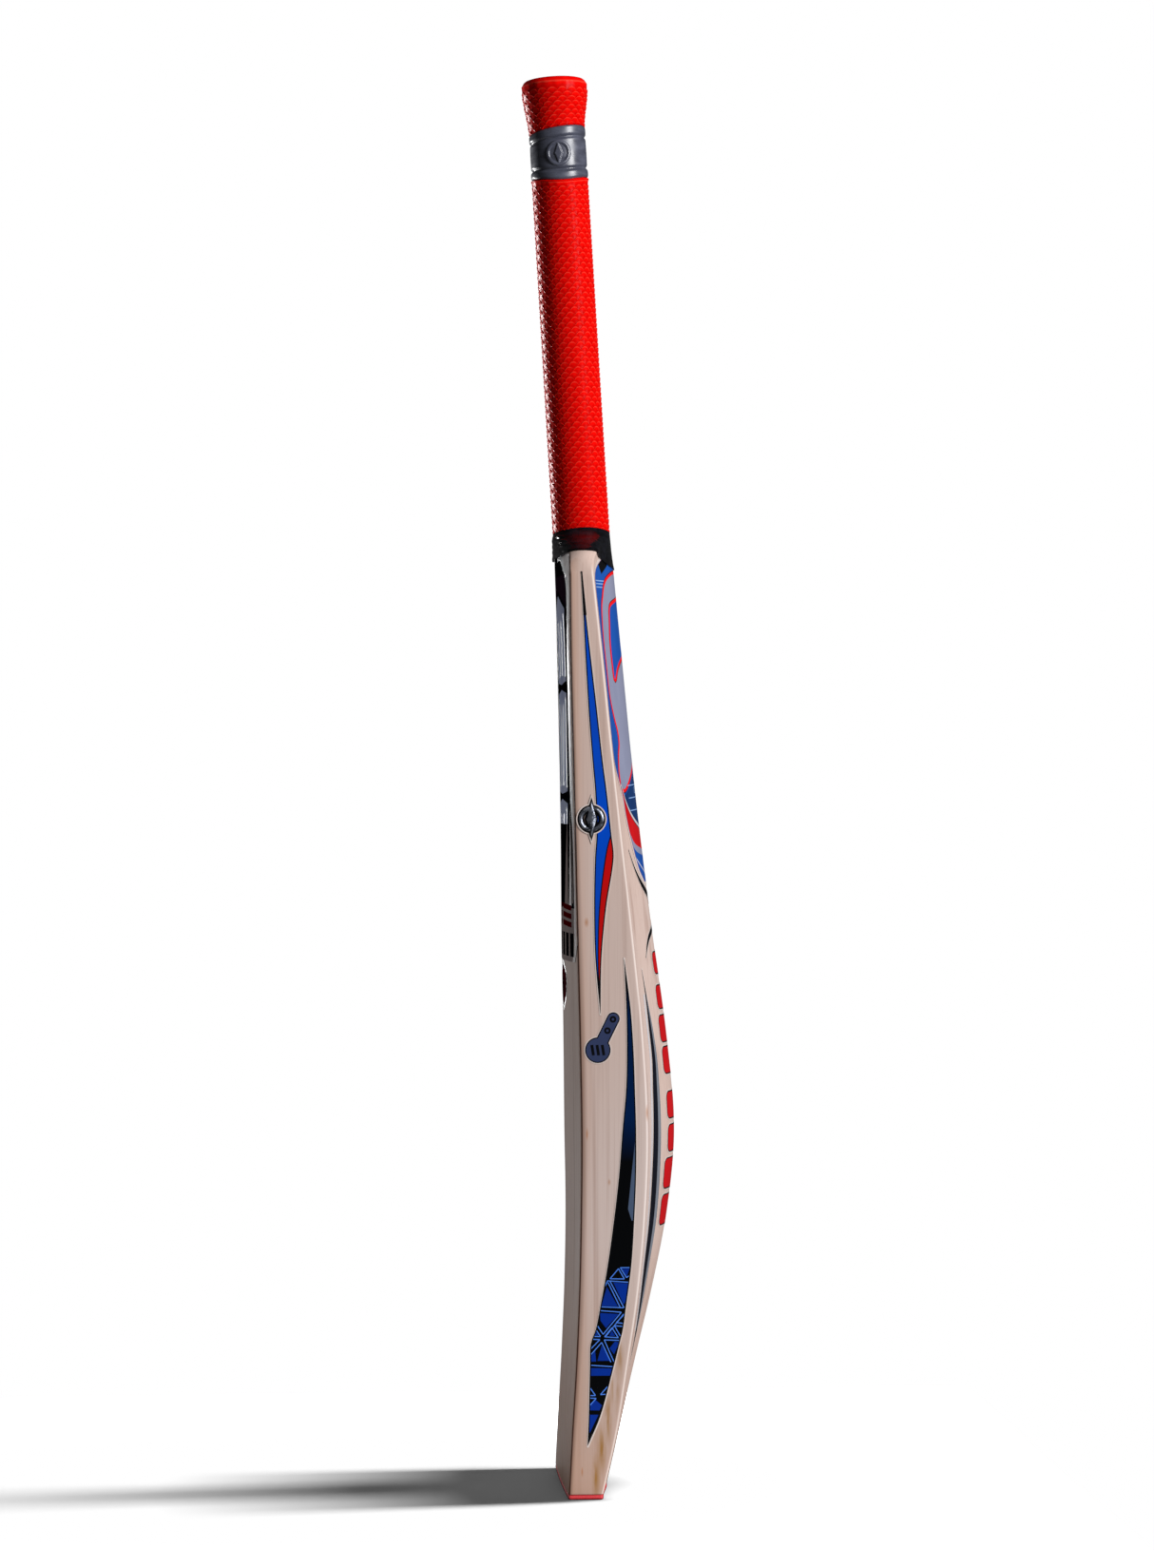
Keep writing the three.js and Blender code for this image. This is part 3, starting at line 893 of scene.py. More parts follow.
def blade_rings():
    toe = TOE_GUARD + GAP
    shoulder = SHOULDER[0][0]
    rings = [shrunk([station_point(s, toe) for s in STATIONS], TOE_ROUNDING)]
    heights = steps(toe + TOE_ROUNDING, shoulder, BLADE_RINGS)
    for z in heights + steps(shoulder, HANDLE_FOOT, NECK_RINGS)[1:]:
        share = clamp01((z - NECK_RAMP) / (HANDLE_FOOT - NECK_RAMP))
        ring = []
        for station in STATIONS:
            shift = share * (neck_top(station_angle(station)) - HANDLE_FOOT)
            ring.append(station_point(station, z + shift))
        rings.append(ring)
    return rings


def mark_face_corner(piece):
    """Attributes of the warm wood beside the face, of the painted shade line along the face's
    corner and of the painted highlight along the back's corner.
    """
    warm, line, back = [], [], []
    for vertex in piece.data.vertices:
        x, y, z = vertex.co * 1000
        beside = y - face_line(z)
        on_edge = smooth_step(HALF_WIDTH - 3, HALF_WIDTH - 1, abs(x))
        warm.append(0.4 * (1 - smooth_step(1.0, 7.5, beside)) * on_edge)
        # Painted shade line on the rounding of the face's corner.
        rounding = smooth_step(0.05, 0.25, beside) * (1 - smooth_step(0.8, 1.2, beside))
        line.append(0.95 * rounding * smooth_step(HALF_WIDTH - 0.8, HALF_WIDTH - 0.3, abs(x)))
        # Painted highlight along the corner of the back.
        behind = 1 - smooth_step(0.9, 1.5, back_line(z) - y)
        back.append(0.4 * behind * smooth_step(HALF_WIDTH - 1.1, HALF_WIDTH - 0.5, abs(x)))
    for name, values in (("face_corner", warm), ("face_corner_shade", line), ("back_corner_highlight", back)):
        add_attribute(piece, name, values)


def splice_cutter():
    """Wedge that clears the cane of the splice, from front to back of the blade."""
    tip, tip_z = SPLICE_TIP
    top, top_z = SPLICE_TOP
    rate = (top - tip) / (top_z - tip_z)
    high = HANDLE_FOOT + 13  # clear above the neck
    wide = top + rate * (high - top_z) + GAP
    corners = [(-tip - GAP, tip_z - GAP), (tip + GAP, tip_z - GAP), (wide, high), (-wide, high)]
    points = [(x, y, z) for y in (-100, 100) for x, z in corners]
    faces = [(0, 1, 2, 3), (7, 6, 5, 4)]
    faces += [(i, i + 4, (i + 1) % 4 + 4, (i + 1) % 4) for i in range(4)]
    return add_piece("splice_cutter", points, faces, [])


def make_blade():
    points, faces = loft(blade_rings())
    blade = add_piece("blade", points, faces, [WILLOW])
    cutter = splice_cutter()
    cut = blade.modifiers.new("splice", "BOOLEAN")
    cut.operation = "DIFFERENCE"
    cut.object = cutter
    graph = bpy.context.evaluated_depsgraph_get()
    mesh = bpy.data.meshes.new_from_object(blade.evaluated_get(graph))
    blade.modifiers.clear()
    blade.data = mesh
    bpy.data.objects.remove(cutter)
    smooth(mesh)
    mark_face_corner(blade)
    stands_for(blade, "willow", "willow_blade")


# Height and inset of the toe guard's rounded rims.
TOE_PROFILE = [(0, 0.9), (0.25, 0.35), (0.7, 0), (2.1, 0), (2.45, 0.15), (TOE_GUARD, 0.5)]


def make_toe_guard():
    outline = [station_point(s, TOE_GUARD) for s in STATIONS]
    rings = []
    for z, inset in TOE_PROFILE:
        rings.append([Vector((p.x, p.y, z)) for p in shrunk(outline, inset)])
    points, faces = loft(rings)
    piece = add_piece("toe_rubber", points, faces, [TOE])
    stands_for(piece, "toe_rubber", "toe_guard")


# ---- film round the shoulder ----

# Angle on the neck from the middle of the edge towards the spine, lower border of the film.
WRAP_BORDER = [
    (-90, 560), (-60, 560), (-45, 561.5), (-32, 562.3), (0, 562.6), (32, 562.3), (45, 561.5),
    (58, 558.6), (75, 555), (90, 553.5),
]
WRAP_ROWS = 40
WRAP_OFFSET = 0.62
WRAP_THICKNESS = 0.35
WRAP_OVERLAP = 1.5  # up under the grip
FOLD_DEPTH = 0.9
BORDER_SWELL = 0.3


def wrap_relief(angle, share):
    """Folds where the film gathers beside the face, and the swelling of its lower border."""
    beside = smooth_step(34, 58, -angle) * (1 - smooth_step(0.8, 0.95, share))
    fold = abs(math.sin(share * 17 + angle * 0.09)) ** 0.6
    border = 1 - smooth_step(0.02, 0.16, share)
    return FOLD_DEPTH * beside * fold + BORDER_SWELL * border


def make_wrap():
    outer, inner = [], []
    for k in range(WRAP_ROWS + 1):
        share = k / WRAP_ROWS
        for index, station in enumerate(STATIONS):
            angle = station_angle(station)
            low = curve(WRAP_BORDER, 1, angle)
            z = lerp(low, neck_top(angle) + WRAP_OVERLAP, share)
            point = station_point(station, z)
            before = station_point(STATIONS[index - 1], z)
            after = station_point(STATIONS[(index + 1) % len(STATIONS)], z)
            above = station_point(station, z + 0.3)
            normal = (after - before).cross(above - point).normalized()
            outer.append(point + normal * (WRAP_OFFSET + wrap_relief(angle, share)))
            inner.append(point + normal * (WRAP_OFFSET - WRAP_THICKNESS))
    count = len(STATIONS)
    rings = WRAP_ROWS + 1
    size = len(outer)
    faces = ring_faces(rings, count)
    faces += [tuple(size + i for i in reversed(face)) for face in ring_faces(rings, count)]
    last = (rings - 1) * count
    for i in range(count):
        j = (i + 1) % count
        faces.append((size + i, size + j, j, i))
        faces.append((last + i, last + j, size + last + j, size + last + i))
    piece = add_piece("shoulder_film", outer + inner, faces, [WRAP], sharp=50)
    stands_for(piece, "black_film", "shoulder_wrap")


# ---- grip and collar, turned about the leaning handle ----

HANDLE = Matrix.Translation((0, AXIS_AT_FOOT, HANDLE_FOOT)) @ Matrix.Rotation(
    math.atan(LEAN), 4, "X"
)
# Distance along the handle, radius.
GRIP_RADIUS = [
    (0, 17.1), (80, 17.0), (213, 16.9), (241, 16.9), (248, 17.5), (256, 18.7), (263, 19.6),
    (267, 19.8), (270, 19.6),
]
SCALE_COLUMNS = 8
GRIP_COLUMNS = SCALES_ROUND * SCALE_COLUMNS
SCALE_RINGS = (0, 0.35, 0.7, 0.92, 1)
# Share at which the rubber gets neither painted hollow shade nor painted rim highlight.
PLAIN_RIM = 0.4  # neither hollow nor rim
ARCHED_END = 30.0  # length over which the grip's arched end evens out
COLLAR_LOW = 213.5
COLLAR_HIGH = 240.5
PULL_LENGTH = 25.0
# How far the rubber is dragged: above the collar at the spine and at the side, and below it.
PULL_SPINE = 1.85
PULL_SIDE = 1.2
PULL_BELOW = 2.4
GRIP_START = 0.3
GRIP_BORE = 14.8
GRIP_FOOT = 16.5
SCALES_END = 270.3
BEAD_START = COLLAR_LOW - 1.6
BEAD_RADIUS = 17.0
GROOVE_RADIUS = 15.5  # under the collar
# Distance along the bead below the collar, and how far it stands out.
BEAD = [(0.2, 0.1), (0.4, 0.4), (0.8, 0.55), (1.2, 0.4), (1.4, 0.1)]
# Radius and distance along the handle, over the rounded top and down inside the sleeve.
LIP = [
    (19.2, 271.4), (18.6, 272.4), (17.6, 273.2), (16.3, 273.6), (12.5, 273.5), (9.9, 273.3),
    (9.4, 272.9), (9.3, 271.6), (16.4, 271.6), (16.6, 264.5), (15.5, 257), (GRIP_BORE, 251.5),
]


def collar_pull(angle, s):
    """Shift along the handle: the rubber is dragged out of true round the collar."""
    front = math.cos(angle)
    above = PULL_SPINE * (1 + math.sin(angle)) + PULL_SIDE * front
    below = -PULL_BELOW * max(front, 0) ** 2
    share = clamp01((s - COLLAR_LOW) / (COLLAR_HIGH - COLLAR_LOW))
    away = max(s - COLLAR_HIGH, COLLAR_LOW - s)
    return lerp(below, above, share) * clamp01(1 - away / PULL_LENGTH)


def on_handle(radius, angle, s):
    place = s + collar_pull(angle, s)
    return HANDLE @ Vector((radius * math.cos(angle), radius * math.sin(angle), place))


def scale_edge(row, column, start):
    """Distance along the handle of a row's rounded edges, and how far a point is from a tip."""
    phase = (column / SCALE_COLUMNS + 0.5 * (row % 2)) % 1
    across = 2 * phase - 1
    return start + SCALE_PITCH * row + SCALE_ARCH * (1 - across * across), across


def scaled_rings(start, end):
    """Rings of one stretch of scales: radius, distance along the handle, nearness to a rim, which
    sets the painted highlight and shade.
    """
    rows = math.ceil((end - start) / SCALE_PITCH)

    def bound(row, column):
        s, across = scale_edge(row, column, start)
        return (start if row < 0 else min(s, end)), across

    rings = []
    for row in range(rows):
        for f in SCALE_RINGS:
            ring = []
            for column in range(GRIP_COLUMNS):
                low, _ = bound(row - 1, column)
                high, across = bound(row, column)
                if row == rows - 1:
                    high = end
                s = lerp(low, high, f)
                crown = SCALE_STEP * f ** 1.5 * (1 - 0.3 * across * across)
                # Nearness to the rim, for the painted highlight there and the painted shade in the
                # hollow.
                rim = smooth_step(0.55, 1, f)
                ring.append((curve(GRIP_RADIUS, 1, s) - 0.45 * SCALE_STEP + crown, s, rim))
            rings.append(ring)
    return rings


def plain_ring(radius, s):
    return [(radius, s, PLAIN_RIM)] * GRIP_COLUMNS


def make_grip():
    rings = [plain_ring(radius, GRIP_START) for radius in (GRIP_BORE, GRIP_FOOT)]
    rings += scaled_rings(GRIP_START, BEAD_START)
    rings += [plain_ring(BEAD_RADIUS + out, BEAD_START + along) for along, out in BEAD]
    rings += [plain_ring(GROOVE_RADIUS, s) for s in (COLLAR_LOW + 0.1, COLLAR_HIGH - 0.1)]
    rings += scaled_rings(COLLAR_HIGH, SCALES_END)
    rings += [plain_ring(radius, s) for radius, s in LIP]
    points, rim_light_shares = [], []
    for ring in rings:
        for angle, (radius, s, rim) in zip(round_angles(GRIP_COLUMNS), ring):
            fade = clamp01(1 - s / ARCHED_END)
            points.append(on_handle(radius, angle, s + fade * grip_end(math.degrees(angle))))
            rim_light_shares.append(rim)
    faces = ring_faces(len(rings), GRIP_COLUMNS, closed=True)
    piece = add_piece("grip_sleeve", points, faces, [GRIP])
    add_attribute(piece, "scale_rim_light_and_shade", rim_light_shares)
    stands_for(piece, "grip_rubber", "grip")


# Distance along the handle, radius.
COLLAR_PROFILE = [
    (213.8, 16.6), (214.4, 17.1), (215, 17.3), (217.4, 17.2), (218.2, 16.6), (219, 16.1),
    (219.8, 16.7), (220.4, 17.0), (233.4, 16.95), (234.1, 16.6), (234.9, 16.0), (235.7, 16.6),
    (236.4, 17.1), (238.9, 17.15), (239.7, 17.05), (240.2, 16.7),
]
COLLAR_COLUMNS = 300
EMBLEM = (-4.4, 227.0)  # angle and distance along the handle
EMBLEM_RADIUS = 5.6
COLLAR_RINGS = 88
COLLAR_BORE = 15.7


def emblem_height(along, up):
    """Raised ring crossed by an upright spike."""
    ring = abs(math.hypot(along * 0.86, up) - EMBLEM_RADIUS) - 0.7
    spike = (abs(along) / 2.2 + abs(up) / 5.2 - 1) * 1.6
    return 0.8 * (1 - smooth_step(-0.15, 0.3, min(ring, spike)))


def make_collar():
    start = COLLAR_PROFILE[0][0]
    end = COLLAR_PROFILE[-1][0]
    angles = round_angles(COLLAR_COLUMNS)
    rings = []
    for s in steps(start, end, COLLAR_RINGS):
        ring = []
        for angle in angles:
            offset = (math.degrees(angle) - EMBLEM[0] + 180) % 360 - 180
            radius = curve(COLLAR_PROFILE, 1, s)
            radius += emblem_height(math.radians(offset) * radius, s - EMBLEM[1])
            ring.append(on_handle(radius, angle, s))
        rings.append(ring)
    rings += [[on_handle(COLLAR_BORE, angle, s) for angle in angles] for s in (end, start)]
    faces = ring_faces(len(rings), COLLAR_COLUMNS, closed=True)
    piece = add_piece("collar_band", [p for ring in rings for p in ring], faces, [COLLAR], sharp=45)
    stands_for(piece, "collar_rubber", "grip_collar")


# ---- printed films of the edges, in Y and Z ----

UPPER_SPLIT = [(15.6, 395.6), (12.0, 381.5), (8.3, 351), (7.4, 321.2), (8.2, 300), (8.7, 288)]

# Filled panels and drawn lines of the lattice on the lower film.
LATTICE_PANELS = [
    [(12.6, 126), (19.1, 114.3), (9.4, 114.8)],
    [(16.4, 128.6), (25.6, 127.8), (24.0, 118), (22.6, 115.4)],
    [(8.6, 110.6), (19.5, 109.8), (12.0, 101.6), (8.8, 106)],
    [(21.5, 136.6), (26.0, 136.6), (24.4, 132.1)],
    [(15.6, 100), (14.0, 97.1), (17.5, 96.8)],
    [(4.6, 101.2), (7.6, 97.4), (3.0, 97.4)],
    [(9.5, 91.4), (14.8, 82.2), (7.0, 82.2)],
    [(5.6, 88.0), (3.0, 85.0), (3.0, 81.8), (6.2, 81.8)],
    [(17.4, 93.6), (14.2, 89.6), (16.8, 86.0), (20, 93)],
    [(3.0, 78.0), (16.4, 77.6), (14.8, 73.4), (3.0, 73.4)],
    [(6.0, 59.0), (9.6, 55.8), (8.2, 52.8), (2.0, 53.0), (2.4, 57)],
    [(2.0, 50.3), (7.6, 50.3), (2.4, 39.5)],
]
LATTICE_LINES = [
    [(14.5, 130.8), (19.5, 136.7), (23.0, 130.6), (14.5, 130.8)],
    [(26.0, 137.3), (20.6, 137.3), (24.3, 131.4), (25.6, 132.4)],
    [(11.7, 126.5), (13.0, 129.6), (25.4, 128.6)],
    [(13.3, 128.6), (20.6, 113.6)],
    [(14.4, 129.4), (22.8, 113.5)],
    [(9.0, 114.2), (22.4, 113.5)],
    [(8.4, 112.0), (21.2, 110.9)],
    [(21.2, 110.9), (10.4, 97.9), (6.9, 103.1)],
    [(22.6, 109.8), (11.7, 96.4)],
    [(22.8, 109.4), (18.2, 104.8), (22.4, 104.2)],
    [(22.0, 102.5), (17.1, 102.9), (20.6, 96.8)],
    [(5.6, 101.4), (8.8, 96.6), (4.0, 96.8)],
    [(15.6, 101.8), (11.2, 96.4), (19.4, 95.8), (15.6, 101.8)],
    [(3.4, 95.1), (8.4, 94.8), (2.6, 88.8)],
    [(20.4, 94.2), (11.0, 94.6), (16.8, 81.6)],
    [(2.8, 85.6), (9.5, 93.1), (15.0, 81.4)],
    [(2.4, 79.7), (17.0, 78.6)],
    [(2.4, 66.6), (5.8, 61.7), (2.4, 61.7)],
    [(14.2, 68.2), (8.8, 62.2), (12.6, 62.4)],
    [(2.2, 60.2), (6.2, 60.0), (2.2, 55.4)],
]
LATTICE_WEDGE = [(29.3, 212), (25.2, 172), (27.4, 165), (28.2, 165.4), (29.6, 186)]
UPPER_TIP = [(-1.5, 524), (0.6, 524), (-2.0, 550), (-2.9, 550)]


def film_art(outline_rows, base):
    """Clear margin, black outline and base colour of one printed sliver; also its inner outline."""
    art = Art()
    inner = sliver(outline_rows, INK_LINE)
    art.paint(sliver(outline_rows, -CARRIER), MARGIN)
    art.paint(sliver(outline_rows, 0), BLACK)
    art.paint(inner, base)
    return art, inner


def edge_upper_art():
    art, inner = film_art(EDGE_UPPER, COBALT)
    split = smooth_line(UPPER_SPLIT)
    art.paint(split + [(20, 288), (20, 395.6)], DEEP_RED, inner)
    art.paint(stroke(split, 0.7), BLACK, inner)
    art.paint(UPPER_TIP, BLACK)
    return art


def edge_lower_art():
    art, inner = film_art(EDGE_LOWER, NIGHT)
    art.paint(LATTICE_WEDGE, WEDGE, inner)
    for panel in LATTICE_PANELS:
        art.paint(panel, PANEL, inner)
    for line in LATTICE_LINES:
        for start, end in zip(line, line[1:]):
            art.paint(stroke([start, end], 0.55), LATTICE, inner)
    return art


def keyhole(grow):
    """Outline of the weight tag: a ball with a slanting stem that ends round."""
    ball = Vector(TAG_BALL[:2])
    stem = Vector(TAG_STEM[:2])
    radius = TAG_BALL[2] + grow
    narrow = TAG_STEM[2] + grow
    lean = math.atan2(stem.y - ball.y, stem.x - ball.x)
    mouth = math.asin(narrow / radius)
    points = arc(ball, radius, steps(lean + mouth, lean - mouth + 2 * math.pi, 30))
    return points + arc(stem, narrow, steps(lean - math.pi / 2, lean + math.pi / 2, 12))


def tag_art():
    art = Art()
    art.paint(keyhole(0.9), MARGIN)
    art.paint(keyhole(0.35), BLACK)
    art.paint(keyhole(-0.35), TAG_SLATE)
    u, v, _ = TAG_BALL
    for offset in (-3.1, 0, 3.1):
        art.paint(stroke([(u + offset - 0.5, v + 3.1), (u + offset + 0.5, v - 3.1)], 1.7), BLACK)
    for share in (0.62, 0.98):
        centre = (lerp(u, TAG_STEM[0], share), lerp(v, TAG_STEM[1], share))
        art.paint(circle(centre, 2.0, 16), BLACK)
        art.paint(circle(centre, 0.8, 12), TAG_SLATE)
    return art


def spike(grow):
    u, v = BADGE_CENTRE
    tall = SPIKE_HALF + 2.6 * grow
    wide = SPIKE_WIDTH + grow
    return [(u, v - tall), (u + wide, v), (u, v + tall), (u - wide, v)]


def badge_plate_art():
    art = Art()
    for grow, ink in ((1.5, MARGIN), (0.8, BLACK)):
        art.paint(circle(BADGE_CENTRE, BADGE_OUTER + grow), ink)
        art.paint(circle(BADGE_CENTRE, BADGE_INNER - grow), None)
        art.paint(spike(grow), ink)
    return art


BADGE_COLUMNS = 48
# Radius and height of the ring's section; growth of the spike's outline and height of its steps.
BADGE_RING = [
    (BADGE_INNER, 0), (BADGE_INNER + 0.35, 0.7), (6.4, 0.95), (BADGE_OUTER - 0.35, 0.7),
    (BADGE_OUTER, 0),
]
BADGE_SPIKE = [(0, 0), (-0.5, 0.9), (-2.2, 1.5)]


def badge_metal(side):
    """Points and faces of the ring and the spike, standing proud of the edge."""
    base = HALF_WIDTH + BADGE_METAL_LIFT
    rings = [(circle(BADGE_CENTRE, radius, BADGE_COLUMNS), height) for radius, height in BADGE_RING]
    rings += [(spike(grow), height) for grow, height in BADGE_SPIKE]
    points = [(side * (base + height), y, z) for ring, height in rings for y, z in ring]
    faces = ring_faces(len(BADGE_RING), BADGE_COLUMNS, closed=True)
    first = len(BADGE_RING) * BADGE_COLUMNS
    faces.append((first + 3, first + 2, first + 1, first))
    faces += [tuple(first + i for i in face) for face in ring_faces(len(BADGE_SPIKE), 4)]
    faces.append((first + 8, first + 9, first + 10, first + 11))
    if side < 0:
        faces = [tuple(reversed(face)) for face in faces]
    return points, faces


def make_edges():
    for name, surface, side in (("right", RIGHT, 1), ("left", LEFT, -1)):
        upper = edge_upper_art()
        lower = edge_lower_art()
        plate = badge_plate_art()
        sticker(f"edge_upper_film_{name}", surface, upper, "blue_print", f"edge_upper_{name}")
        sticker(f"edge_lower_film_{name}", surface, lower, "navy_print", f"edge_lower_{name}")
        sticker(f"badge_plate_{name}", surface, plate, "badge_foil", lift=BADGE_LIFT)
        points, faces = badge_metal(side)
        metal = add_piece(f"badge_{name}", points, faces, [METAL], sharp=25)
        stands_for(metal, "badge_foil", f"edge_badge_{name}")
    sticker("weight_tag_film", RIGHT, tag_art(), "slate_print", "weight_tag")


# ---- printed sheets of the back, in X and Z; each half is drawn once and mirrored ----

GREY_LOOP = [
    (0, 551), (10, 550.4), (18, 548.6), (25, 545.8), (30, 541.7), (33.5, 536), (38, 528),
    (41, 512), (41, 495), (40.5, 478), (36, 465), (31.5, 456), (31, 448), (34.5, 441), (37, 431),
    (36, 423.5), (31, 420.9), (22.5, 424.9), (11.5, 432.3), (0, 439.5),
]
INNER_LOOP = [
    (0, 535.5), (8, 534.2), (19.8, 531.4), (24, 528.2), (26, 520), (28.5, 508.6), (28.6, 495),
    (27.3, 487), (21, 494), (12.7, 499), (0, 503),
]
DEEP_PANEL = [(36, 420), (31, 417), (22.5, 421), (11.5, 428.4), (0, 435), (0, 394), (24, 402)]
RED_LENS_TOP = [(37, 422), (35, 419.5), (30.6, 411.8), (22.7, 403.7), (12, 398.4), (0, 395.5)]
RED_LENS_LOW = [(38, 412), (37, 409.5), (33.9, 402.7), (29.6, 394.7), (21.3, 387.7), (0, 383.9)]
BLUE_BAND_TOP = [(41, 412), (38, 404), (33, 394), (27, 387), (18, 382.6), (0, 380.4)]
BLUE_BAND_LOW = [(42, 408), (38.2, 401.6), (32.7, 391.3), (27.1, 382.1), (14, 374), (0, 368.9)]


def raised(line, rise):
    return [(u, v + rise) for u, v in line]


def back_label_art():
    art = Art()
    rows = symmetric(BACK_LABEL)
    inner = sliver(rows, 1.0)
    art.paint(sliver(rows, -1.0), MARGIN)
    art.paint(sliver(rows, 0), LABEL_PURPLE)
    art.paint(inner, LABEL_BLUE)
    art.paint_pair([(44, 560), (33, 549.5), (22, 555), (20, 560)], BLACK, inner)
    for z in (545.0, 543.2, 541.2):
        art.paint_pair(stroke([(47, z), (27, z + 0.5)], 0.7), LABEL_LIGHT, inner)
    for loop, outer, line, fill in (
        (smooth_line(GREY_LOOP), 5.0, 3.9, LABEL_GREY),
        (smooth_line(INNER_LOOP), 5.2, 4.2, LABEL_BLUE),
    ):
        art.paint_pair(stroke(loop, outer), BLACK, inner)
        art.paint_pair(stroke(loop, line), LABEL_RED, inner)
        art.paint_pair(loop, fill, inner)
    art.paint_pair(DEEP_PANEL, LABEL_DEEP, inner)
    for z in (424, 416.5, 409):
        art.paint_pair(stroke([(24, z - 1), (2, z)], 0.6), LABEL_LIGHT, inner)
    art.paint_pair(circle((8, 420.5), 2.2, 18), LABEL_LIGHT, inner)
    art.paint_pair(circle((8, 420.5), 1.5, 18), LABEL_DEEP, inner)
    top = smooth_line(RED_LENS_TOP)
    low = smooth_line(RED_LENS_LOW)
    for rise, ink in ((3.4, BLACK), (2.8, LABEL_WHITE), (0.8, BLACK)):
        art.paint_pair(raised(top, rise) + low[::-1], ink, inner)
    art.paint_pair(top + low[::-1], RED, inner)
    band_top = smooth_line(BLUE_BAND_TOP)
    band_low = smooth_line(BLUE_BAND_LOW)
    art.paint_pair(low + band_top[::-1], LABEL_GREY, inner)
    art.paint_pair(band_top + band_low[::-1], LABEL_BLUE, inner)
    art.paint_pair(stroke(band_low, 0.9), LABEL_WHITE, inner)
    return art


def chevron_polygon(rows, grow):
    reach = rows[-1][0]
    stations = steps(-reach, reach, 40)
    low = [(x, curve(rows, 1, abs(x)) - grow) for x in stations]
    high = [(x, curve(rows, 2, abs(x)) + grow) for x in stations]
    return low + high[::-1]


def chevron_art(rows):
    art = Art()
    art.paint(chevron_polygon(rows, 0.9), MARGIN)
    art.paint(chevron_polygon(rows, 0), BLACK)
    return art


def rounded_block(low, high, half, radius):
    """Block across the spine with round corners."""
    points = []
    centres = [(half - radius, high - radius), (radius - half, high - radius)]
    centres += [(radius - half, low + radius), (half - radius, low + radius)]
    for k, centre in enumerate(centres):
        angles = [math.radians(angle) for angle in steps(k * 90, k * 90 + 90, 6)]
        points += arc(centre, radius, angles)
    return points


def block_art(low, high, half):
    art = Art()
    art.paint(rounded_block(low - 0.7, high + 0.7, half + 0.8, 5.0), MARGIN)
    art.paint(rounded_block(low, high, half, 4.4), BLACK)
    art.paint(rounded_block(low + 0.8, high - 0.8, half - 0.9, 3.6), RED)
    return art


def stripe_art(side):
    """Dark outside, light towards the spine, with a bright line beside the dark."""
    inner = BACK_STRIPE[1:-1]
    bright = [(z, b + 1.2, b + 3.4) for z, _, b in inner]
    light = [(z, a + 0.4, lerp(a, b, 0.34)) for z, a, b in inner]
    art = Art()
    parts = [
        (sliver(BACK_STRIPE, -CARRIER), MARGIN),
        (sliver(bright, -0.3), MARGIN),
        (sliver(bright, 0), LABEL_WHITE),
        (sliver(BACK_STRIPE, 0), BLACK),
        (sliver(BACK_STRIPE, 0.5), SLATE),
        (sliver(light, 0), PALE_SLATE),
    ]
    for polygon, ink in parts:
        art.paint(polygon if side > 0 else flipped(polygon), ink)
    return art


def make_back():
    art = back_label_art()
    sticker("back_sheet", BACK, art, "label_blue", "back_label", lift=LABEL_LIFT, pitch=4.0)
    for name, rows in (("upper", CHEVRON_UPPER), ("lower", CHEVRON_LOWER)):
        art = chevron_art(rows)
        sticker(f"chevron_{name}", BACK, art, "black_film", f"back_chevron_{name}", pitch=4.0)
    for number, (low, high, half) in enumerate(SPINE_BLOCKS, 1):
        art = block_art(low, high, half)
        node = f"spine_block_{number}"
        sticker(f"spine_print_{number}", BACK, art, "red_print", node, pitch=3.0)
    for name, side in (("right", 1), ("left", -1)):
        art = stripe_art(side)
        sticker(f"stripe_{name}", BACK, art, "slate_print", f"back_stripe_{name}", pitch=3.0)


# ---- printed sheets of the face ----

# Height, half width of the whole sheet, measured on round the corners of the face.
FACE_RIM = [(318, 48), (330, 54), (400, 54), (546, 54), (552, 53.6), (557, 52.8), (562, 50)]
# Outside of the black band within it.
FACE_BAND = [(350, 49), (392, 48), (420, 41), (500, 39), (530, 43), (546, 40), (558, 24)]


# Lower side, upper side and pointed top of the pale panels within the band.
FACE_PANELS = [(486, 528, 10), (420, 478, 3), (372, 412, 3)]
FACE_PANEL_HALF = 35
# Distance from the middle and from the panel's end, at the foot and at the top, and width.
FACE_STROKES = [
    (27, 2, 25, 2, 3.2, FACE_WHITE),
    (18, 6, 20, 4, 2.6, FACE_BLUE),
    (8, 3, 10, 6, 3.4, FACE_WHITE),
]
# Light pieces over the foot of the band.
FACE_SHARDS = [
    ([(33, 351), (41, 351), (40, 412)], FACE_PALE_AND_GLARE),
    ([(14, 351), (29, 351), (27, 404), (20, 380)], SMOKE),
    ([(43, 353), (46, 353), (46, 402)], SMOKE),
]
FACE_FRAME_FOOT = 345  # below this height the sheet is plain, but for its bars


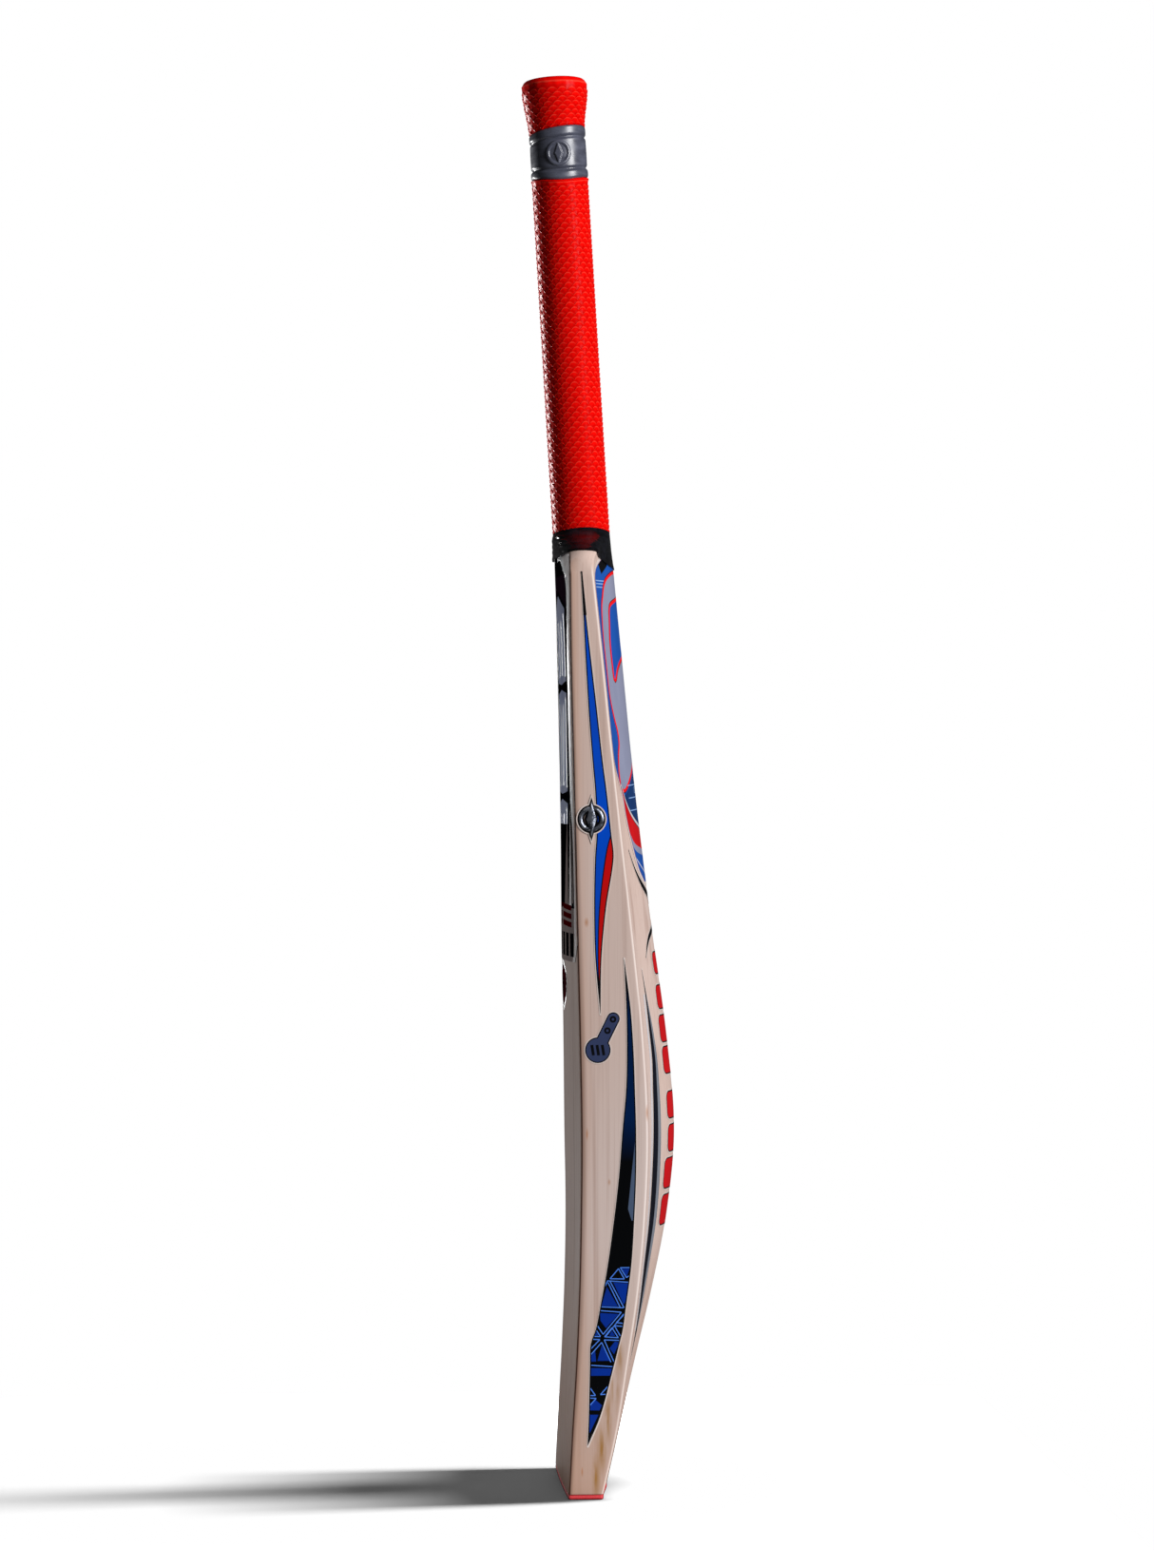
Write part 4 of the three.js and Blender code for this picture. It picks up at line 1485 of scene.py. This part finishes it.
def face_label_art():
    """Dark frames with pale fields; the sheet's pale rim round the corners of the face is partly
    its light edge and partly painted glare.
    """
    art = Art()

    def outline(rows, grow, low=0):
        return sliver([(z, -half - grow, half + grow) for z, half in rows if z > low], 0)

    sheet = outline(FACE_LABEL, 0)
    field = outline(FACE_LABEL, -20, FACE_FRAME_FOOT)
    art.paint(outline(FACE_RIM, 0.3), BORDER)
    # The pale rim round the corners: the sheet's light edge with painted glare.
    art.paint(outline(FACE_RIM, 0), FACE_PALE_AND_GLARE)
    art.paint(outline(FACE_LABEL, -3), SMOKE)
    art.paint(outline(FACE_LABEL, -1, FACE_FRAME_FOOT), FACE_WHITE)
    art.paint(outline(FACE_BAND, 0), FACE_BLACK)
    art.paint(field, FACE_BLACK)
    half = FACE_PANEL_HALF
    for low, high, peak in FACE_PANELS:
        near = [(half, low), (half, high), (0, high + peak)]
        art.paint(near + [(-half, high), (-half, low), (0, low - 2)], LILAC, field)
        for foot, above, head, below, width, ink in FACE_STROKES:
            art.paint_pair(stroke([(foot, low + above), (head, high - below)], width), ink, field)
    for shard, ink in FACE_SHARDS:
        art.paint_pair(shard, ink, sheet)
    art.paint([(40, 530), (40, 549), (-40, 549), (-40, 530), (0, 541)], PLUM, sheet)
    for z in (350, 345, 340):
        art.paint_pair(stroke([(40, z), (4, z + 1)], 3.2), FACE_RED, sheet)
    for x in (8, 24, 40):
        art.paint_pair(stroke([(x, 321), (x, 335)], 11), FACE_BLACK, sheet)
    return art


def face_mark_art():
    art = Art()
    rows = symmetric(FACE_MARK)
    art.paint(sliver(rows, -0.9, 1.5), FACE_WHITE)
    art.paint(sliver(rows, 0, 1.5), FACE_BLACK)
    art.paint(sliver(rows, 1.6, 1.5), MAROON)
    art.paint(circle((0, 303), 5, 24), FACE_BLACK)
    return art


def make_face():
    art = face_label_art()
    surface = FACE_AND_CORNERS
    sticker("face_sheet", surface, art, "label_dark", "face_label", lift=LABEL_LIFT, pitch=5.0)
    sticker("face_mark_film", FACE, face_mark_art(), "label_dark", "face_mark", pitch=3.0)


def dress_handle():
    """Materials of the CAD pieces that show as they are."""
    looks = {f"cane_strip_{i}": CANE for i in range(1, 13)}
    looks.update({f"rubber_insert_{i}": INSERT for i in range(1, 4)})
    looks["handle_binding"] = TWINE
    for node, material in looks.items():
        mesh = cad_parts[node].data
        mesh.materials.clear()
        mesh.materials.append(material)


# ---- stage, light and camera ----

CAMERA_AZIMUTH = 85.6
CAMERA_DISTANCE = 2.370
CAMERA_AIM = Vector((0, -0.001, 0.424))
CAMERA_LENS = 89.77


def direction(azimuth, elevation):
    """Unit vector towards a place seen at an azimuth, 0 towards -Y and 90 towards +X."""
    a, e = math.radians(azimuth), math.radians(elevation)
    return Vector((math.sin(a) * math.cos(e), -math.cos(a) * math.cos(e), math.sin(e)))


def look_at_aim(thing, azimuth, elevation, distance):
    """Place a camera or a light around the point that it looks at."""
    towards = direction(azimuth, elevation)
    thing.location = CAMERA_AIM + towards * distance
    thing.rotation_mode = "QUATERNION"
    thing.rotation_quaternion = towards.to_track_quat("Z", "Y")


def make_camera():
    data = bpy.data.cameras.new("camera")
    data.lens = CAMERA_LENS
    camera = add_object("camera", data)
    look_at_aim(camera, CAMERA_AZIMUTH, 0, CAMERA_DISTANCE)
    bpy.context.scene.camera = camera


# Half width and ends in metres. The plane is small, because the bat's outline comes out rough
# in front of a shadow catcher. The shadow fades out at the surface of an ellipsoid.
FLOOR = (0.36, -0.8, 0.3)
FLOOR_FADE = ((0, -180, 0), (350, 600, 400), 0.5)


def make_floor():
    """Plane that only catches the shadow."""
    wide, front, behind = FLOOR
    mesh = bpy.data.meshes.new("floor")
    corners = [(-wide, front, 0), (wide, front, 0), (wide, behind, 0), (-wide, behind, 0)]
    mesh.from_pydata(corners, [], [(0, 1, 2, 3)])
    look = Look("floor", Roughness=0.9, Specular_IOR_Level=0)
    look.use("Alpha", look.spot(*FLOOR_FADE))
    cloud = look.noise((2, 2, 2), detail=2)
    look.use("Base Color", look.mix(cloud, (0.9, 0.9, 0.9, 1), (0.86, 0.86, 0.86, 1)))
    mesh.materials.append(look.material)
    floor = add_object("floor", mesh)
    floor.is_shadow_catcher = True


HANDLE_PIECES = ["grip_sleeve", "collar_band", "shoulder_film"]
FACE_PIECES = ["face_sheet", "face_mark_film"]
# What a light falls on: only these pieces, or everything but them.
RECEIVERS = {
    "bat": (["floor"], "EXCLUDE"),
    "blade": (["floor", *HANDLE_PIECES], "EXCLUDE"),
    "handle": (HANDLE_PIECES, "INCLUDE"),
    "face": (FACE_PIECES, "INCLUDE"),
    "ground": (["floor"], "INCLUDE"),
}
# Key from behind, rim and sheen along the face, glint on the handle's far side, and a strip
# over the floor. Azimuth, elevation, distance, width and height, power, what it falls on.
LIGHTS = {
    "key": (138, 22, 2.4, (0.9, 1.6), 71, "bat"),
    "fill": (60, 10, 3.2, (1.6, 1.6), 0.8, "bat"),
    "rim": (-58, 4, 1.8, (0.12, 1.8), 7.2, "blade"),
    "glint": (-50, 0, 1.8, (0.08, 0.7), 25, "handle"),
    "sheen": (-82, 0, 2.6, (0.16, 1.8), 4.5, "face"),
    "floor_strip": (185, 76.7, 2.44, (0.1, 0.72), 46, "ground"),
}


def receivers_of(kind):
    """Collection that links a light to its pieces."""
    names, state = RECEIVERS[kind]
    group = bpy.data.collections.new(kind)
    for name in names:
        group.objects.link(bpy.data.objects[name])
    for member in group.collection_objects:
        member.light_linking.link_state = state
    return group


def make_lights():
    """Rectangular lights that the camera doesn't see, made after the pieces that they light."""
    groups = {kind: receivers_of(kind) for kind in RECEIVERS}
    for name, (azimuth, elevation, distance, size, power, kind) in LIGHTS.items():
        data = bpy.data.lights.new(name, "AREA")
        data.shape = "RECTANGLE"
        data.size, data.size_y = size
        data.energy = power
        light = add_object(name, data)
        look_at_aim(light, azimuth, elevation, distance)
        light.visible_camera = False
        light.light_linking.receiver_collection = groups[kind]


SKY_DIM = 0.045  # strength of the white sky, to all but the camera


def make_world():
    """White to the camera, a dim grey to everything else."""
    world = bpy.data.worlds.new("studio")
    world.use_nodes = True
    tree = world.node_tree
    tree.nodes.clear()
    output = tree.nodes.new("ShaderNodeOutputWorld")
    mix = tree.nodes.new("ShaderNodeMixShader")
    path = tree.nodes.new("ShaderNodeLightPath")
    tree.links.new(path.outputs["Is Camera Ray"], mix.inputs["Fac"])
    for index, strength in ((1, SKY_DIM), (2, 1.0)):
        sky = tree.nodes.new("ShaderNodeBackground")
        sky.inputs["Color"].default_value = (1, 1, 1, 1)
        sky.inputs["Strength"].default_value = strength
        tree.links.new(sky.outputs["Background"], mix.inputs[index])
    tree.links.new(mix.outputs["Shader"], output.inputs["Surface"])
    bpy.context.scene.world = world


bpy.context.scene.view_settings.view_transform = "Standard"
make_camera()
make_world()
make_blade()
make_toe_guard()
make_wrap()
make_grip()
make_collar()
make_edges()
make_back()
make_face()
dress_handle()
make_floor()
make_lights()
